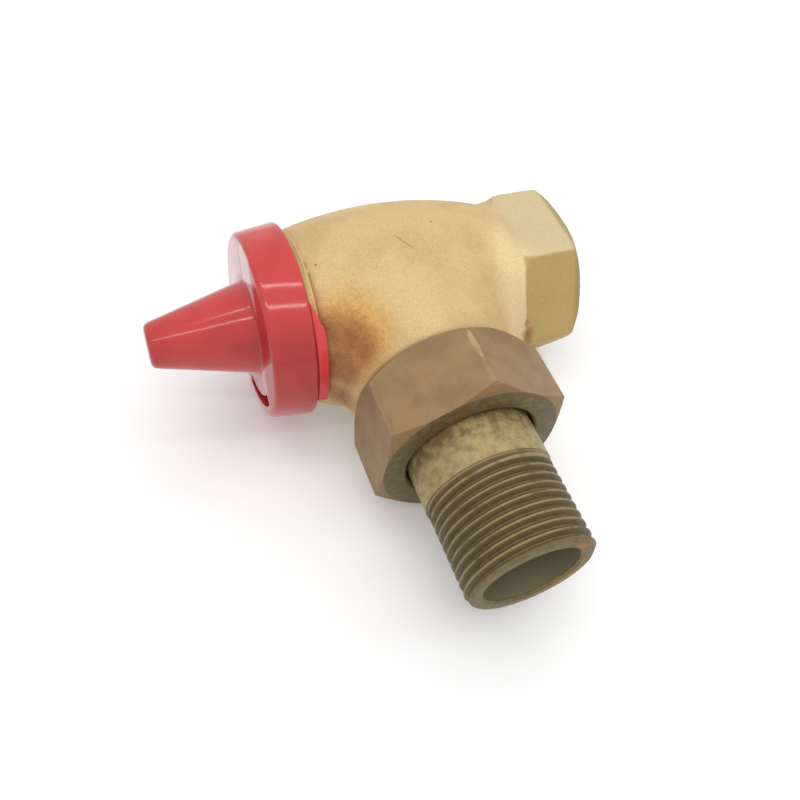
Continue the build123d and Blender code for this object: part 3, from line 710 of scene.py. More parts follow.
class Finish:
    """A procedural material being wired, with the surface's own place in millimetres at hand."""

    def __init__(self, name):
        self.material = bpy.data.materials.new(name)
        self.material.use_nodes = True
        tree = self.material.node_tree
        tree.nodes.clear()
        self.start = Signal(tree)
        place = self.start.node("ShaderNodeTexCoord", output="Object")
        sockets = {0: place, "Scale": 1 / MM}
        self.point = self.start.node("ShaderNodeVectorMath", {"operation": "SCALE"}, sockets)
        self.x, self.y, self.z = (
            self.start.node("ShaderNodeSeparateXYZ", sockets={0: self.point}, output=axis)
            for axis in range(3)
        )

    def grain(self, scale, detail=3.0, roughness=0.55, stretch=(1, 1, 1)):
        """Noise around 0.5, with scale in waves per millimetre."""
        spot = self.point
        if tuple(stretch) != (1, 1, 1):
            spot = self.start.node("ShaderNodeVectorMath", {"operation": "MULTIPLY"}, {0: spot, 1: stretch})
        sockets = {"Vector": spot, "Scale": scale, "Detail": detail, "Roughness": roughness}
        return self.start.node("ShaderNodeTexNoise", sockets=sockets)

    def away(self, spot):
        """Distance from a spot, in millimetres."""
        sockets = {0: self.point, 1: spot}
        return self.start.node("ShaderNodeVectorMath", {"operation": "DISTANCE"}, sockets, 1)

    def near(self, spot, full, fade):
        """1 within a distance of a spot, in millimetres, fading to 0."""
        return self.away(spot).ramp(fade, full)

    def nearest(self, spots):
        """1 near any of a list of (spot, full radius, faded radius)."""
        marks = [self.near(*entry) for entry in spots]
        together = marks[0]
        for mark in marks[1:]:
            together = together.largest(mark)
        return together

    def scratch(self, first, last, width):
        """1 on the straight line between two spots, fading to 0 within a width."""
        span = (Vector(last) - Vector(first)).length
        return (self.away(first) + self.away(last) - span).ramp(width * width / span, 0.0)

    def radius(self, turning):
        """Distance from a turning axis, in millimetres."""
        shift = [coordinate / MM for coordinate in turning.centre]
        parts = [
            (signal - offset) ** 2
            for signal, offset, along in zip((self.x, self.y, self.z), shift, turning.along)
            if not along
        ]
        return (parts[0] + parts[1]) ** 0.5

    def bump(self, height, distance, strength=1.0, under=None):
        """Relief from a height signal, with its distance in metres."""
        sockets = {"Height": height, "Distance": distance, "Strength": strength}
        if under:
            sockets["Normal"] = under
        return self.start.node("ShaderNodeBump", sockets=sockets)

    def close(self, **values):
        """Wire the surface shader and hand the material over."""
        sockets = {name.replace("_", " "): value for name, value in values.items()}
        surface = self.start.node("ShaderNodeBsdfPrincipled", sockets=sockets)
        self.start.node("ShaderNodeOutputMaterial", sockets={"Surface": surface})
        return self.material


def cast_brass(colours):
    """Sand-blasted casting with brown tarnish by the nut, a painted highlight on the flare, a painted sheen
    on the hexagon's top, and turned brass at its ends.
    """
    finish = Finish("cast_brass")
    grit = finish.grain(2.4, detail=3.0, roughness=0.6)
    dust = finish.grain(4.0, detail=2.0)
    warm = finish.near(*WARM_SPOT)
    cloud = finish.grain(0.11, detail=3.0)
    base = cloud.ramp(0.36, 0.66).mix(colours.cast_light, colours.cast_deep)
    base = (warm * 0.8).mix(base, colours.cast_gold)
    # Painted sheen: the hexagon's top flats turn grey where light falls, and its lower flats keep the olive
    # brass.
    upper = (finish.z + finish.y * UPPER_LEAN).ramp(*UPPER_EDGE)
    crisp = finish.x.ramp(*FLAT_EDGE)
    flats = crisp + (finish.x.ramp(*FLAT_BLEND) - crisp) * upper
    base = (flats * 0.8).mix(base, upper.mix(colours.flat_olive, colours.flat_painted_sheen))
    # Painted highlight: the flare's near side is lightened towards the glint brass where light falls on it.
    facing = (finish.z * NEAR_Z - finish.y * NEAR_Y).ramp(*FACING_FADE)
    flare = finish.x.ramp(*FLARE_RISE) * (1 - flats) * facing
    base = (flare * 0.6).mix(base, colours.cast_glint_and_painted_highlight)
    rim = finish.x.ramp(*END_RIM)
    base = (rim * 0.8).mix(base, colours.flat_rim)
    peel = finish.grain(1.1, detail=3.0, roughness=0.6)
    base = (peel.ramp(0.35, 0.75) * warm * 0.4).mix(base, colours.cast_speck)
    base = (grit.ramp(0.45, 0.8) * (0.22 - flats * 0.06)).mix(base, colours.cast_speck)
    base = (dust.ramp(0.45, 0.85) * (0.4 - flats * 0.2)).mix(base, colours.cast_glint_and_painted_highlight)
    mottle = finish.grain(0.45, detail=5.0, roughness=0.65)
    stain = finish.nearest(TARNISH_SPOTS) * (0.72 + mottle.ramp(0.3, 0.7) * 0.28)
    base = (stain * 0.85).mix(base, colours.cast_tarnish)
    base = finish.nearest(FLECK_SPOTS).mix(base, colours.cast_fleck)
    pit = finish.nearest(PIT_SPOTS)
    line = finish.scratch(*SCRATCH_ENDS, SCRATCH_WIDTH)
    base = (pit.largest(line * 0.6) * 0.6).mix(base, colours.cast_pit)
    out = finish.radius(STEM)
    neck = finish.x.ramp(*NECK_EDGE)
    inlet = out.ramp(*INLET_WALL) * finish.x.ramp(*INLET_FLOOR)
    boss = finish.y.ramp(*BOSS_EDGE)
    inside = out.ramp(*CHAMBER_WALL) * finish.x.ramp(*CHAMBER_EDGE)
    turned = (neck * 0.6).largest(inlet).largest(boss).largest(inside)
    marks = finish.grain(3.0, detail=2.0, stretch=(1.6, 0.05, 0.05))
    turns = finish.grain(3.0, detail=2.0, stretch=(0.05, 1.6, 0.05))
    marks = marks + (turns - marks) * boss
    bright = marks.ramp(0.35, 0.65).mix(colours.turned, colours.turned_deep)
    bright = (inlet * 0.55).mix(bright, colours.bore_dark)
    base = turned.mix(base, bright)
    rough = 0.6 + grit * 0.15 - turned * 0.25 - flats * 0.08
    skin = (grit * 0.8 + dust * 0.4 + peel * warm * 3) * (1 - turned) * (1 - flats * 0.5)
    relief = skin + marks * turned * 0.25 - pit * 2 - line
    normal = finish.bump(relief, 0.06 * MM, 1.0)
    return finish.close(Base_Color=base, Metallic=0.5 + turned * 0.4, Roughness=rough, Normal=normal)


def nut_brass(colours):
    """Brown satin tarnish with one corner made bright, partly by wear and partly as a painted highlight, and
    a dark olive front.
    """
    finish = Finish("nut_brass")
    cloud = finish.grain(0.2, detail=3.0)
    smear = finish.grain(0.9, detail=4.0, stretch=(1.0, 0.4, 1.0))
    fine = finish.grain(3.0, detail=3.0)
    base = (cloud.ramp(0.34, 0.7) * 0.7).mix(colours.nut_brown, colours.nut_dark)
    base = (smear.ramp(0.52, 0.78) * 0.4).mix(base, colours.nut_dark)
    out = finish.radius(TAIL)
    # The streak on the top corner is partly wear and partly a painted highlight.
    worn = finish.scratch(*WORN_HIGHLIGHT_ENDS, WORN_HIGHLIGHT_WIDTH) * smear.ramp(0.25, 0.5)
    corner = out.ramp(*NUT_CORNER) * smear.ramp(0.35, 0.6) * 0.18
    base = (worn * 0.42).largest(corner).mix(base, colours.nut_worn_and_highlight)
    front = finish.y.ramp(*NUT_FRONT) * out.ramp(*NUT_FRONT_RIM)
    base = front.mix(base, smear.ramp(0.4, 0.8).mix(colours.nut_olive, colours.nut_front))
    facet = finish.y.ramp(*NUT_FACET) * out.ramp(*NUT_FACET_RIM) * smear.ramp(0.3, 0.6)
    base = (facet * 0.6).mix(base, colours.nut_gold)
    hollow = out.ramp(*NUT_BORE_WALL) * finish.y.ramp(*NUT_BORE_END)
    base = hollow.mix(base, colours.turned_deep)
    rough = 0.46 + smear * 0.14 - worn * 0.12
    normal = finish.bump(fine * 0.6 + smear * 0.5, 0.02 * MM, 0.8)
    return finish.close(Base_Color=base, Metallic=0.4, Roughness=rough, Normal=normal)


def tail_brass(colours, thread_start):
    """Pale mottled shank with brown stains and painted shade by the nut, dark olive thread with thin painted
    highlights on its crests, stained end and dark bore.
    """
    finish = Finish("tail_brass")
    mottle = finish.grain(0.7, detail=5.0, roughness=0.62)
    cloud = finish.grain(0.3, detail=3.0)
    fine = finish.grain(4.0, detail=2.0)
    base = (mottle.ramp(0.36, 0.74) * 0.85).mix(colours.shank_pale, colours.shank_olive)
    # Brown stains by the nut, darkened further as painted shade where the nut shades the shank.
    shaded = finish.y.ramp(*SHANK_SHADE) * mottle.ramp(0.35, 0.6)
    base = (shaded * 0.6).mix(base, colours.shank_stain_and_shade)
    out = finish.radius(TAIL)
    threaded = finish.y.ramp(thread_start + THREAD_EDGE, thread_start - THREAD_EDGE)
    base = threaded.mix(base, mottle.ramp(0.35, 0.75).mix(colours.thread_dark, colours.nut_olive))
    # Painted highlight: thin bright lines along the thread's crests.
    crest = threaded * out.ramp(*CREST_EDGE) * cloud.ramp(0.25, 0.5)
    base = (crest * 0.35).mix(base, colours.crest_highlight)
    end = finish.y.ramp(*TAIL_END) * out.ramp(*TAIL_END_RIM)
    base = end.mix(base, mottle.ramp(0.4, 0.66).mix(colours.end_olive, colours.thread_dark))
    rust = end * cloud.ramp(0.46, 0.6) * finish.x.ramp(*RUST_SIDE)
    base = (rust * 0.7).mix(base, colours.end_orange)
    bore = out.ramp(*TAIL_BORE_WALL) * finish.y.ramp(*TAIL_BORE_END)
    base = bore.mix(base, colours.bore_dark)
    rough = 0.42 + mottle * 0.2 + threaded * 0.08
    normal = finish.bump(fine * 0.5 + mottle * 0.5, 0.02 * MM, 0.8)
    return finish.close(Base_Color=base, Metallic=0.45, Roughness=rough, Normal=normal)


def red_plastic(colours):
    """Glossy, slightly see-through plastic with flow clouds, scuffs and a pale painted reflection on its
    front.
    """
    finish = Finish("red_plastic")
    cloud = finish.grain(0.08, detail=2.0)
    scuff = finish.grain(1.2, detail=4.0, roughness=0.7)
    skin = finish.grain(2.2, detail=2.0)
    base = cloud.ramp(0.35, 0.65).mix(colours.cap_red, colours.cap_deep)
    out = finish.radius(STEM)
    front = finish.x.ramp(*CAP_FACE_START) * finish.x.ramp(*CAP_FACE_STOP)
    front = front * out.ramp(*CAP_FACE_INNER) * out.ramp(*CAP_FACE_OUTER)
    seam = finish.y * SEAM_Y - finish.z * SEAM_Z
    # Painted reflection: the front face is paled, whiter on one side of the seam line and deeper on the
    # other, most on the near side and less towards the bottom.
    bloom = seam.ramp(*SEAM_FADE).mix(colours.cap_painted_reflection, colours.cap_painted_reflection_deep)
    near_side = finish.z * NEAR_Z - finish.y * NEAR_Y
    reflection_share = front * near_side.ramp(*REFLECTION_SIDE) * (0.82 - finish.z.ramp(*REFLECTION_LOW) * 0.55)
    base = reflection_share.mix(base, bloom)
    inside = out.ramp(*CAP_WALL) * finish.x.ramp(*CAP_FLOOR)
    # Painted light: the tabs and the inside of the cap are lightened as if lit through the thin plastic.
    base = finish.x.ramp(*TAB_EDGE).largest(inside).mix(base, colours.cap_tab)
    groove = front * finish.y.ramp(*SEAM_SIDE) * seam.math("ABSOLUTE", seam).ramp(*SEAM_GROOVE)
    base = (groove * 0.7).mix(base, colours.cap_deep)
    rough = 0.12 + scuff.ramp(0.5, 0.8) * 0.1
    normal = finish.bump(skin, 0.006 * MM, 0.6)
    return finish.close(
        Base_Color=base,
        Roughness=rough,
        Normal=normal,
        IOR=1.52,
        Subsurface_Weight=0.2,
        Subsurface_Scale=2.0 * MM,
    )


def turned_brass(colours):
    """Bright turned brass with fine tool rings about the stem axis."""
    finish = Finish("turned_brass")
    rings = finish.grain(3.2, detail=2.0, stretch=(1.6, 0.06, 0.06))
    cloud = finish.grain(0.3, detail=3.0)
    base = (rings.ramp(0.35, 0.68) * 0.6 + cloud * 0.3).mix(colours.turned, colours.turned_deep)
    rough = 0.24 + rings * 0.14
    normal = finish.bump(rings, 0.01 * MM, 0.7)
    return finish.close(Base_Color=base, Metallic=1.0, Roughness=rough, Normal=normal)


def black_rubber(colours):
    """Black sealing rubber with a faint grey bloom."""
    finish = Finish("black_rubber")
    bloom = finish.grain(0.9, detail=4.0)
    skin = finish.grain(5.0, detail=2.0)
    base = bloom.ramp(0.5, 0.75).mix(colours.rubber, colours.rubber_bloom)
    normal = finish.bump(skin, 0.008 * MM, 0.6)
    return finish.close(Base_Color=base, Roughness=0.48 + bloom * 0.25, Normal=normal)


def stainless_steel(colours):
    """Ground stainless steel with fine rings about the stem axis."""
    finish = Finish("stainless_steel")
    rings = finish.grain(5.0, detail=2.0, stretch=(1.5, 0.08, 0.08))
    base = rings.ramp(0.3, 0.7).mix(colours.steel, colours.steel_deep)
    normal = finish.bump(rings, 0.006 * MM, 0.6)
    return finish.close(Base_Color=base, Metallic=1.0, Roughness=0.2 + rings * 0.15, Normal=normal)


def white_plastic(colours):
    """Cloudy white low-friction plastic."""
    finish = Finish("white_plastic")
    cloud = finish.grain(0.5, detail=3.0)
    skin = finish.grain(3.0, detail=2.0)
    base = cloud.ramp(0.35, 0.7).mix(colours.bush_white, colours.bush_shade)
    normal = finish.bump(skin, 0.01 * MM, 0.5)
    return finish.close(Base_Color=base, Roughness=0.42 + cloud * 0.15, Normal=normal)


def soften_verts(bm, verts, rounds):
    """Smooth some of a mesh's vertices a number of times."""
    for _ in range(rounds):
        bmesh.ops.smooth_vert(
            bm, verts=verts, factor=SMOOTH_SHARE, use_axis_x=True, use_axis_y=True, use_axis_z=True
        )


def trim_flats(bm, sizes):
    """Run the hexagon's flats a little way into the flare, as a milling cutter leaves them."""
    for side in range(HEX_SIDES):
        turn = (2 * side + 1) * pi / HEX_SIDES
        outward = Vector((0, cos(turn), sin(turn)))
        for vert in bm.verts:
            over = vert.co.dot(outward) - sizes.inlet_flats / 2
            if vert.co.x > -sizes.flat_reach and over > 0:
                vert.co -= outward * over


def melted_blank(sizes, barrel):
    """Hexagon, barrel with its collar and outlet branch, melted into one skin."""
    half = sizes.inlet_flats / 2
    corner = half / cos(pi / HEX_SIDES)
    bm = bmesh.new()
    hexagon(bm, STEM, sizes.inlet_flats, -sizes.hex_length - sizes.voxel, 0.0, 0.0)
    round_edges(bm, [edge for edge in bm.edges if along_axis(STEM, edge)], sizes.hex_corner_round)
    skin = solid("valve_body_casting", bm)
    drop = (corner - half) * tan(sizes.hex_chamfer)
    blank = [(-2 * sizes.hex_length, 0), (-2 * sizes.hex_length, corner), (-drop, corner), (0, half), (0, 0)]
    combine(skin, turned_tool(STEM, blank), "INTERSECT")
    collar = [(-sizes.hex_length, corner - sizes.hex_collar), (-sizes.hex_length, 0)]
    combine(skin, turned_tool(STEM, [(barrel[0][0], 0), *barrel, *collar]), "UNION")
    branch = [(0, 0), (0, sizes.branch_root), (-sizes.boss_root, sizes.branch_end), (-sizes.boss_root, 0)]
    combine(skin, turned_tool(TAIL, branch), "UNION")
    melt = skin.modifiers.new("melt", "REMESH")
    melt.mode = "VOXEL"
    melt.voxel_size = sizes.voxel
    soften = skin.modifiers.new("soften", "SMOOTH")
    soften.factor = SMOOTH_SHARE
    soften.iterations = CAST_SOFTENING
    bake_modifiers(skin)
    return skin


def cast_skin(sizes):
    """The casting's skin with soft fills in its corners and slow bumps, as a sand mould leaves it."""
    barrel = barrel_arc(sizes)
    skin = melted_blank(sizes, barrel)
    bm = bmesh.new()
    bm.from_mesh(skin.data)
    fills = {
        vert: max(corner_fill(sizes, barrel, vert.co), waist_fill(sizes, barrel, vert.co))
        for vert in bm.verts
    }
    filled = {vert for vert, depth in fills.items() if depth}
    for vert in filled:
        vert.co += vert.normal * fills[vert]
    for _ in range(FILL_MARGIN):
        filled |= {edge.other_vert(vert) for vert in filled for edge in vert.link_edges}
    soft = [vert for vert in filled if vert.co.x < -sizes.hex_length - sizes.voxel]
    step = [vert for vert in bm.verts if abs(vert.co.x + sizes.hex_length) < HEX_SOFT_REACH]
    soften_verts(bm, soft, FILL_SOFTENING)
    soften_verts(bm, step, STEP_SOFTENING)
    trim_flats(bm, sizes)
    edge = [vert for vert in bm.verts if abs(vert.co.x + sizes.flat_reach) < sizes.voxel * FLAT_SOFT_CELLS]
    soften_verts(bm, edge, FLAT_SOFTENING)
    top = sizes.inlet_flats / 2 - sizes.voxel
    soften_verts(bm, [vert for vert in step if vert.co.z > top], FILL_SOFTENING)
    bm.normal_update()
    for vert in bm.verts:
        swell = noise.noise(vert.co / LONG_SWELL) + noise.noise(vert.co / SHORT_SWELL) / 2
        vert.co += vert.normal * swell * sizes.waviness
    bm.to_mesh(skin.data)
    bm.free()
    return skin


def barrel_arc(sizes):
    """The barrel's bulging outline from the turned rim to the waist."""
    cast_end = BODY_LOW.x + sizes.neck_length + sizes.rim_width
    waist = (TAIL_X + sizes.waist_reach, sizes.waist_radius)
    return arc_through((cast_end, sizes.rim_radius), (TAIL_X, sizes.barrel_radius), waist, ARC_POINTS)


def corner_fill(sizes, barrel, spot):
    """Depth of metal that fills the corner between barrel and branch at a spot on the skin."""
    if spot.y > 0:
        return 0.0
    place, radius = STEM.place_and_radius(spot)
    outline = min(barrel, key=lambda entry: abs(entry[0] - place))[1]
    away, reach = TAIL.place_and_radius(spot)
    cone = sizes.branch_root + (sizes.branch_end - sizes.branch_root) * -away / sizes.boss_root
    near = max(0.0, 1 - max(abs(radius - outline), abs(reach - cone)) / sizes.branch_blend)
    crossing = 1 - spot.z * spot.z / (radius * reach)
    return near * near * max(0.0, crossing) * sizes.branch_blend / 4


def waist_fill(sizes, barrel, spot):
    """Depth of metal that levels the waist on the branch's side, between shoulder and collar."""
    place, radius = STEM.place_and_radius(spot)
    start = TAIL_X + sizes.shoulder_reach
    end = -sizes.hex_length
    if not start < place < end:
        return 0.0
    shoulder = min(barrel, key=lambda entry: abs(entry[0] - start))[1]
    collar = sizes.inlet_flats / 2 / cos(pi / HEX_SIDES) - sizes.hex_collar
    level = shoulder + (collar - shoulder) * (place - start) / (end - start)
    facing = (spot.z * NEAR_Z - spot.y * NEAR_Y) / radius
    share = min(1.0, max(0.0, (facing - WAIST_FADE[0]) / (WAIST_FADE[1] - WAIST_FADE[0])))
    return max(0.0, level - radius) * share * share * (3 - 2 * share)


def turned_neck(sizes):
    """The turned neck with its groove, and the rim that the cap's tabs reach over."""
    top = BODY_LOW.x
    rim = top + sizes.neck_length
    groove = (top + rim) / 2
    spots = [
        (top, 0),
        (top, sizes.neck_radius - sizes.groove_depth / 2),
        (top + sizes.groove_depth / 2, sizes.neck_radius),
        (groove - sizes.groove_width / 2, sizes.neck_radius),
        (groove - sizes.groove_width / 2, sizes.neck_radius - sizes.groove_depth),
        (groove + sizes.groove_width / 2, sizes.neck_radius - sizes.groove_depth),
        (groove + sizes.groove_width / 2, sizes.neck_radius),
        (rim, sizes.neck_radius),
        (rim, sizes.rim_radius),
        (rim + RIM_TOOL_REACH * sizes.rim_width, sizes.rim_radius),
        (rim + RIM_TOOL_REACH * sizes.rim_width, 0),
    ]
    bm = bmesh.new()
    STEM.spin(bm, spots, False)
    round_edges(bm, STEM.ring(bm, rim, sizes.rim_radius), sizes.groove_depth / 4)
    return solid("neck", bm)


def turned_boss(sizes):
    """The threaded end of the outlet boss, before its thread is cut."""
    face = BODY_LOW.y
    spots = [
        (face, 0),
        (face, sizes.boss_radius - sizes.boss_chamfer),
        (face + sizes.boss_chamfer, sizes.boss_radius),
        (-sizes.boss_root + 2 * sizes.boss_chamfer, sizes.boss_radius),
        (-sizes.boss_root + 2 * sizes.boss_chamfer, 0),
    ]
    return turned_tool(TAIL, spots)


def water_way(sizes):
    """The bores along the stem axis: inlet, seat with its lip, chamber and the thread for the insert."""
    inlet = MOUNTS["inlet"]["r_mm"] * MM
    seat = TAIL_X + sizes.seat_reach
    floor = seat + sizes.seat_height
    lip = sizes.seat_bore + sizes.seat_lip
    insert_end = BODY_LOW.x + sizes.insert_length
    past = sizes.mouth_chamfer
    spots = [
        (past, 0),
        (past, inlet + 2 * sizes.mouth_chamfer),
        (-sizes.mouth_chamfer, inlet),
        (-sizes.inlet_depth, inlet),
        (-sizes.inlet_depth - inlet + sizes.seat_bore, sizes.seat_bore),
        (seat, sizes.seat_bore),
        (seat, lip),
        (floor, lip),
        (floor, sizes.chamber_radius),
        (insert_end + sizes.chamber_radius - sizes.insert_bore, sizes.chamber_radius),
        (insert_end, sizes.insert_bore),
        (BODY_LOW.x + sizes.ring_depth, sizes.insert_bore),
        (BODY_LOW.x + sizes.ring_depth, sizes.ring_bore),
        (BODY_LOW.x - past, sizes.ring_bore),
        (BODY_LOW.x - past, 0),
    ]
    return turned_tool(STEM, spots)


def outlet_bore(sizes):
    """The bore from the chamber through the boss."""
    inner = -sizes.chamber_radius + sizes.boss_chamfer * 2
    spots = [
        (inner, 0),
        (inner, sizes.outlet_radius),
        (BODY_LOW.y - sizes.boss_chamfer, sizes.outlet_radius),
        (BODY_LOW.y - sizes.boss_chamfer, 0),
    ]
    return turned_tool(TAIL, spots)


class VALVE_OT_body(Operator):
    """Cast the valve body, turn its ends and bore and thread it"""

    bl_idname = "valve.body"
    bl_label = "Valve body"

    def execute(self, context):
        sizes = context.scene.valve_body_sizes
        union = context.scene.valve_union_sizes
        piece = cast_skin(sizes)
        combine(piece, turned_neck(sizes), "UNION")
        combine(piece, turned_boss(sizes), "UNION")
        combine(piece, water_way(sizes), "DIFFERENCE")
        combine(piece, outlet_bore(sizes), "DIFFERENCE")
        pitch = union.pipe_pitch
        inlet = MOUNTS["inlet"]["r_mm"] * MM
        root, end = inlet + union.pipe_depth, -sizes.inlet_depth + pitch
        combine(piece, thread_tool(STEM, pitch, end, inlet, root, pitch, PIPE_RUNOUT), "DIFFERENCE")
        crest, root = sizes.boss_radius, sizes.boss_radius - union.pipe_depth
        start, end = BODY_LOW.y - pitch, -sizes.boss_root - pitch
        combine(piece, thread_tool(TAIL, start, end, crest, root, pitch, PIPE_RUNOUT), "DIFFERENCE")
        shade(piece)
        dress(piece, cast_brass(context.scene.valve_colours), "cast_brass", "valve", "valve_body")
        return {"FINISHED"}


def cap_shell(cap):
    """The cap's hollow turned shape: nose, front face, flared collar and skirt."""
    tip = CAP_LOW.x
    front = tip + cap.nose_length
    inner = front + cap.front_wall
    skirt_end = CAP_HIGH.x - cap.tab_reach
    rear = skirt_end - cap.skirt_length
    spots = [
        (tip, 0),
        (tip, cap.nose_tip),
        (front, cap.nose_base),
        (front, cap.collar_front),
        (rear, cap.collar_rear),
        (rear, cap.skirt_radius),
        (skirt_end, cap.skirt_radius),
        (skirt_end, cap.bore_radius),
        (inner, cap.bore_radius),
        (inner, cap.nose_base - cap.nose_wall),
        (front, cap.nose_base - cap.nose_wall),
        (tip + cap.nose_wall, cap.nose_tip - cap.nose_wall),
        (tip + cap.nose_wall, 0),
    ]
    bm = bmesh.new()
    STEM.spin(bm, spots, False)
    for place, radius, width in (
        (tip, cap.nose_tip, cap.nose_tip_round),
        (front, cap.nose_base, cap.nose_base_round),
        (front, cap.collar_front, cap.front_round),
        (rear, cap.collar_rear, cap.rear_round),
    ):
        round_edges(bm, STEM.ring(bm, place, radius), width, segments=5)
    return solid("protective_cap_shell", bm)


def cap_tab(cap, index):
    """One ramped tab that reaches over the body's rim."""
    start = cap.tab_start + index * FULL_TURN / cap.tab_count
    rear = CAP_HIGH.x - cap.tab_reach - cap.skirt_length
    spots = [
        (rear, cap.tab_inner),
        (rear, cap.tab_outer),
        (CAP_HIGH.x, cap.tab_outer),
        (CAP_HIGH.x, cap.tab_inner),
    ]
    bm = bmesh.new()
    STEM.sweep(bm, spots, start, cap.tab_sweep, TAB_STEPS)
    ramp_end = start + cap.tab_ramp
    run = cap.tab_outer * sin(cap.tab_ramp)
    bmesh.ops.bisect_plane(
        bm,
        geom=[*bm.verts, *bm.edges, *bm.faces],
        plane_co=(CAP_HIGH.x, cap.tab_outer * cos(ramp_end), cap.tab_outer * sin(ramp_end)),
        plane_no=(run, cap.tab_reach * sin(ramp_end), -cap.tab_reach * cos(ramp_end)),
        clear_outer=True,
    )
    bmesh.ops.holes_fill(bm, edges=[edge for edge in bm.edges if edge.is_boundary], sides=0)
    close_skin(bm)
    return solid("tab", bm)


def cap_slot(cap):
    """The cutter of the arc slot with round ends through the front face."""
    front = CAP_LOW.x + cap.nose_length
    end_turn = cap.slot_width / 2 / (cap.bore_radius - cap.slot_width / 2)
    spots = [
        (front - cap.front_wall, cap.bore_radius - cap.slot_width),
        (front - cap.front_wall, cap.bore_radius),
        (front + 2 * cap.front_wall, cap.bore_radius),
        (front + 2 * cap.front_wall, cap.bore_radius - cap.slot_width),
    ]
    bm = bmesh.new()
    STEM.sweep(bm, spots, cap.slot_start - end_turn, cap.slot_sweep + 2 * end_turn, TAB_STEPS)
    ends = [edge for edge in sharp_edges(bm, radians(60)) if along_axis(STEM, edge)]
    long_ends = [edge for edge in ends if edge.calc_length() > cap.front_wall]
    round_edges(bm, long_ends, cap.slot_width * SLOT_END_ROUND, segments=5)
    return solid("slot", bm)


def cap_rib(cap, index):
    """One grip rib inside the collar."""
    inner = CAP_LOW.x + cap.nose_length + cap.front_wall
    end = CAP_HIGH.x - cap.tab_reach - cap.edge_round
    middle = (cap.rib_radius + cap.bore_radius + cap.edge_round) / 2
    size = (end - inner + cap.edge_round, cap.bore_radius + cap.edge_round - cap.rib_radius, cap.rib_width)
    turn = Matrix.Rotation(index * FULL_TURN / cap.rib_count, 4, "X")
    shift = Matrix.Translation(((inner + end - cap.edge_round) / 2, middle, 0))
    bm = bmesh.new()
    bmesh.ops.create_cube(bm, size=1, matrix=turn @ shift @ Matrix.Diagonal((*size, 1)))
    return solid("rib", bm)


class VALVE_OT_cap(Operator):
    """Mould the protective cap with its nose, tabs, slot and grip ribs"""

    bl_idname = "valve.cap"
    bl_label = "Protective cap"

    def execute(self, context):
        cap = context.scene.valve_cap_sizes
        piece = cap_shell(cap)
        for index in range(cap.rib_count):
            combine(piece, cap_rib(cap, index), "UNION")
        for index in range(cap.tab_count):
            combine(piece, cap_tab(cap, index), "UNION")
        combine(piece, cap_slot(cap), "DIFFERENCE")
        shade(piece)
        dress(piece, red_plastic(context.scene.valve_colours), "red_plastic", "cap", "protective_cap")
        return {"FINISHED"}


class VALVE_OT_union_nut(Operator):
    """Mill the union nut, turn its chamfers and bore and thread it"""

    bl_idname = "valve.union_nut"
    bl_label = "Union nut"

    def execute(self, context):
        union = context.scene.valve_union_sizes
        front, rear = NUT_LOW.y, NUT_HIGH.y + union.rear_reach
        bm = bmesh.new()
        hexagon(bm, TAIL, union.nut_flats, front, rear, -union.nut_clocking)
        round_edges(bm, [edge for edge in bm.edges if along_axis(TAIL, edge)], union.corner_round)
        piece = solid("union_nut_hexagon", bm)
        reach = union.nut_flats / 2 / cos(pi / HEX_SIDES) * NUT_BLANK_MARGIN
        drop = (reach - union.nut_flats / 2) * tan(union.chamfer)
        blank = [
            (front, 0),
            (front, union.nut_flats / 2),
            (front + drop, reach),
            (rear - (reach - union.nut_flats / 2) * tan(union.rear_chamfer), reach),
            (rear, union.nut_flats / 2),
            (rear, 0),
        ]
        combine(piece, turned_tool(TAIL, blank), "INTERSECT")
        shoulder = front + union.nut_front_wall
        past = union.mouth_chamfer
        bore = [
            (rear + past, 0),
            (rear + past, union.nut_bore + 2 * past),
            (rear - past, union.nut_bore),
            (shoulder, union.nut_bore),
            (shoulder, union.nut_hole),
            (front + union.corner_round, union.nut_hole),
            (front - union.corner_round, union.nut_hole + 2 * union.corner_round),
            (front - union.corner_round, 0),
        ]
        combine(piece, turned_tool(TAIL, bore), "DIFFERENCE")
        pitch = union.pipe_pitch
        crest, root = union.nut_bore, union.nut_bore + union.pipe_depth / 2
        start, end = rear + pitch, shoulder + pitch
        combine(piece, thread_tool(TAIL, start, end, crest, root, pitch, PIPE_RUNOUT), "DIFFERENCE")
        shade(piece)
        dress(piece, nut_brass(context.scene.valve_colours), "nut_brass", "nut", "union_nut")
        return {"FINISHED"}


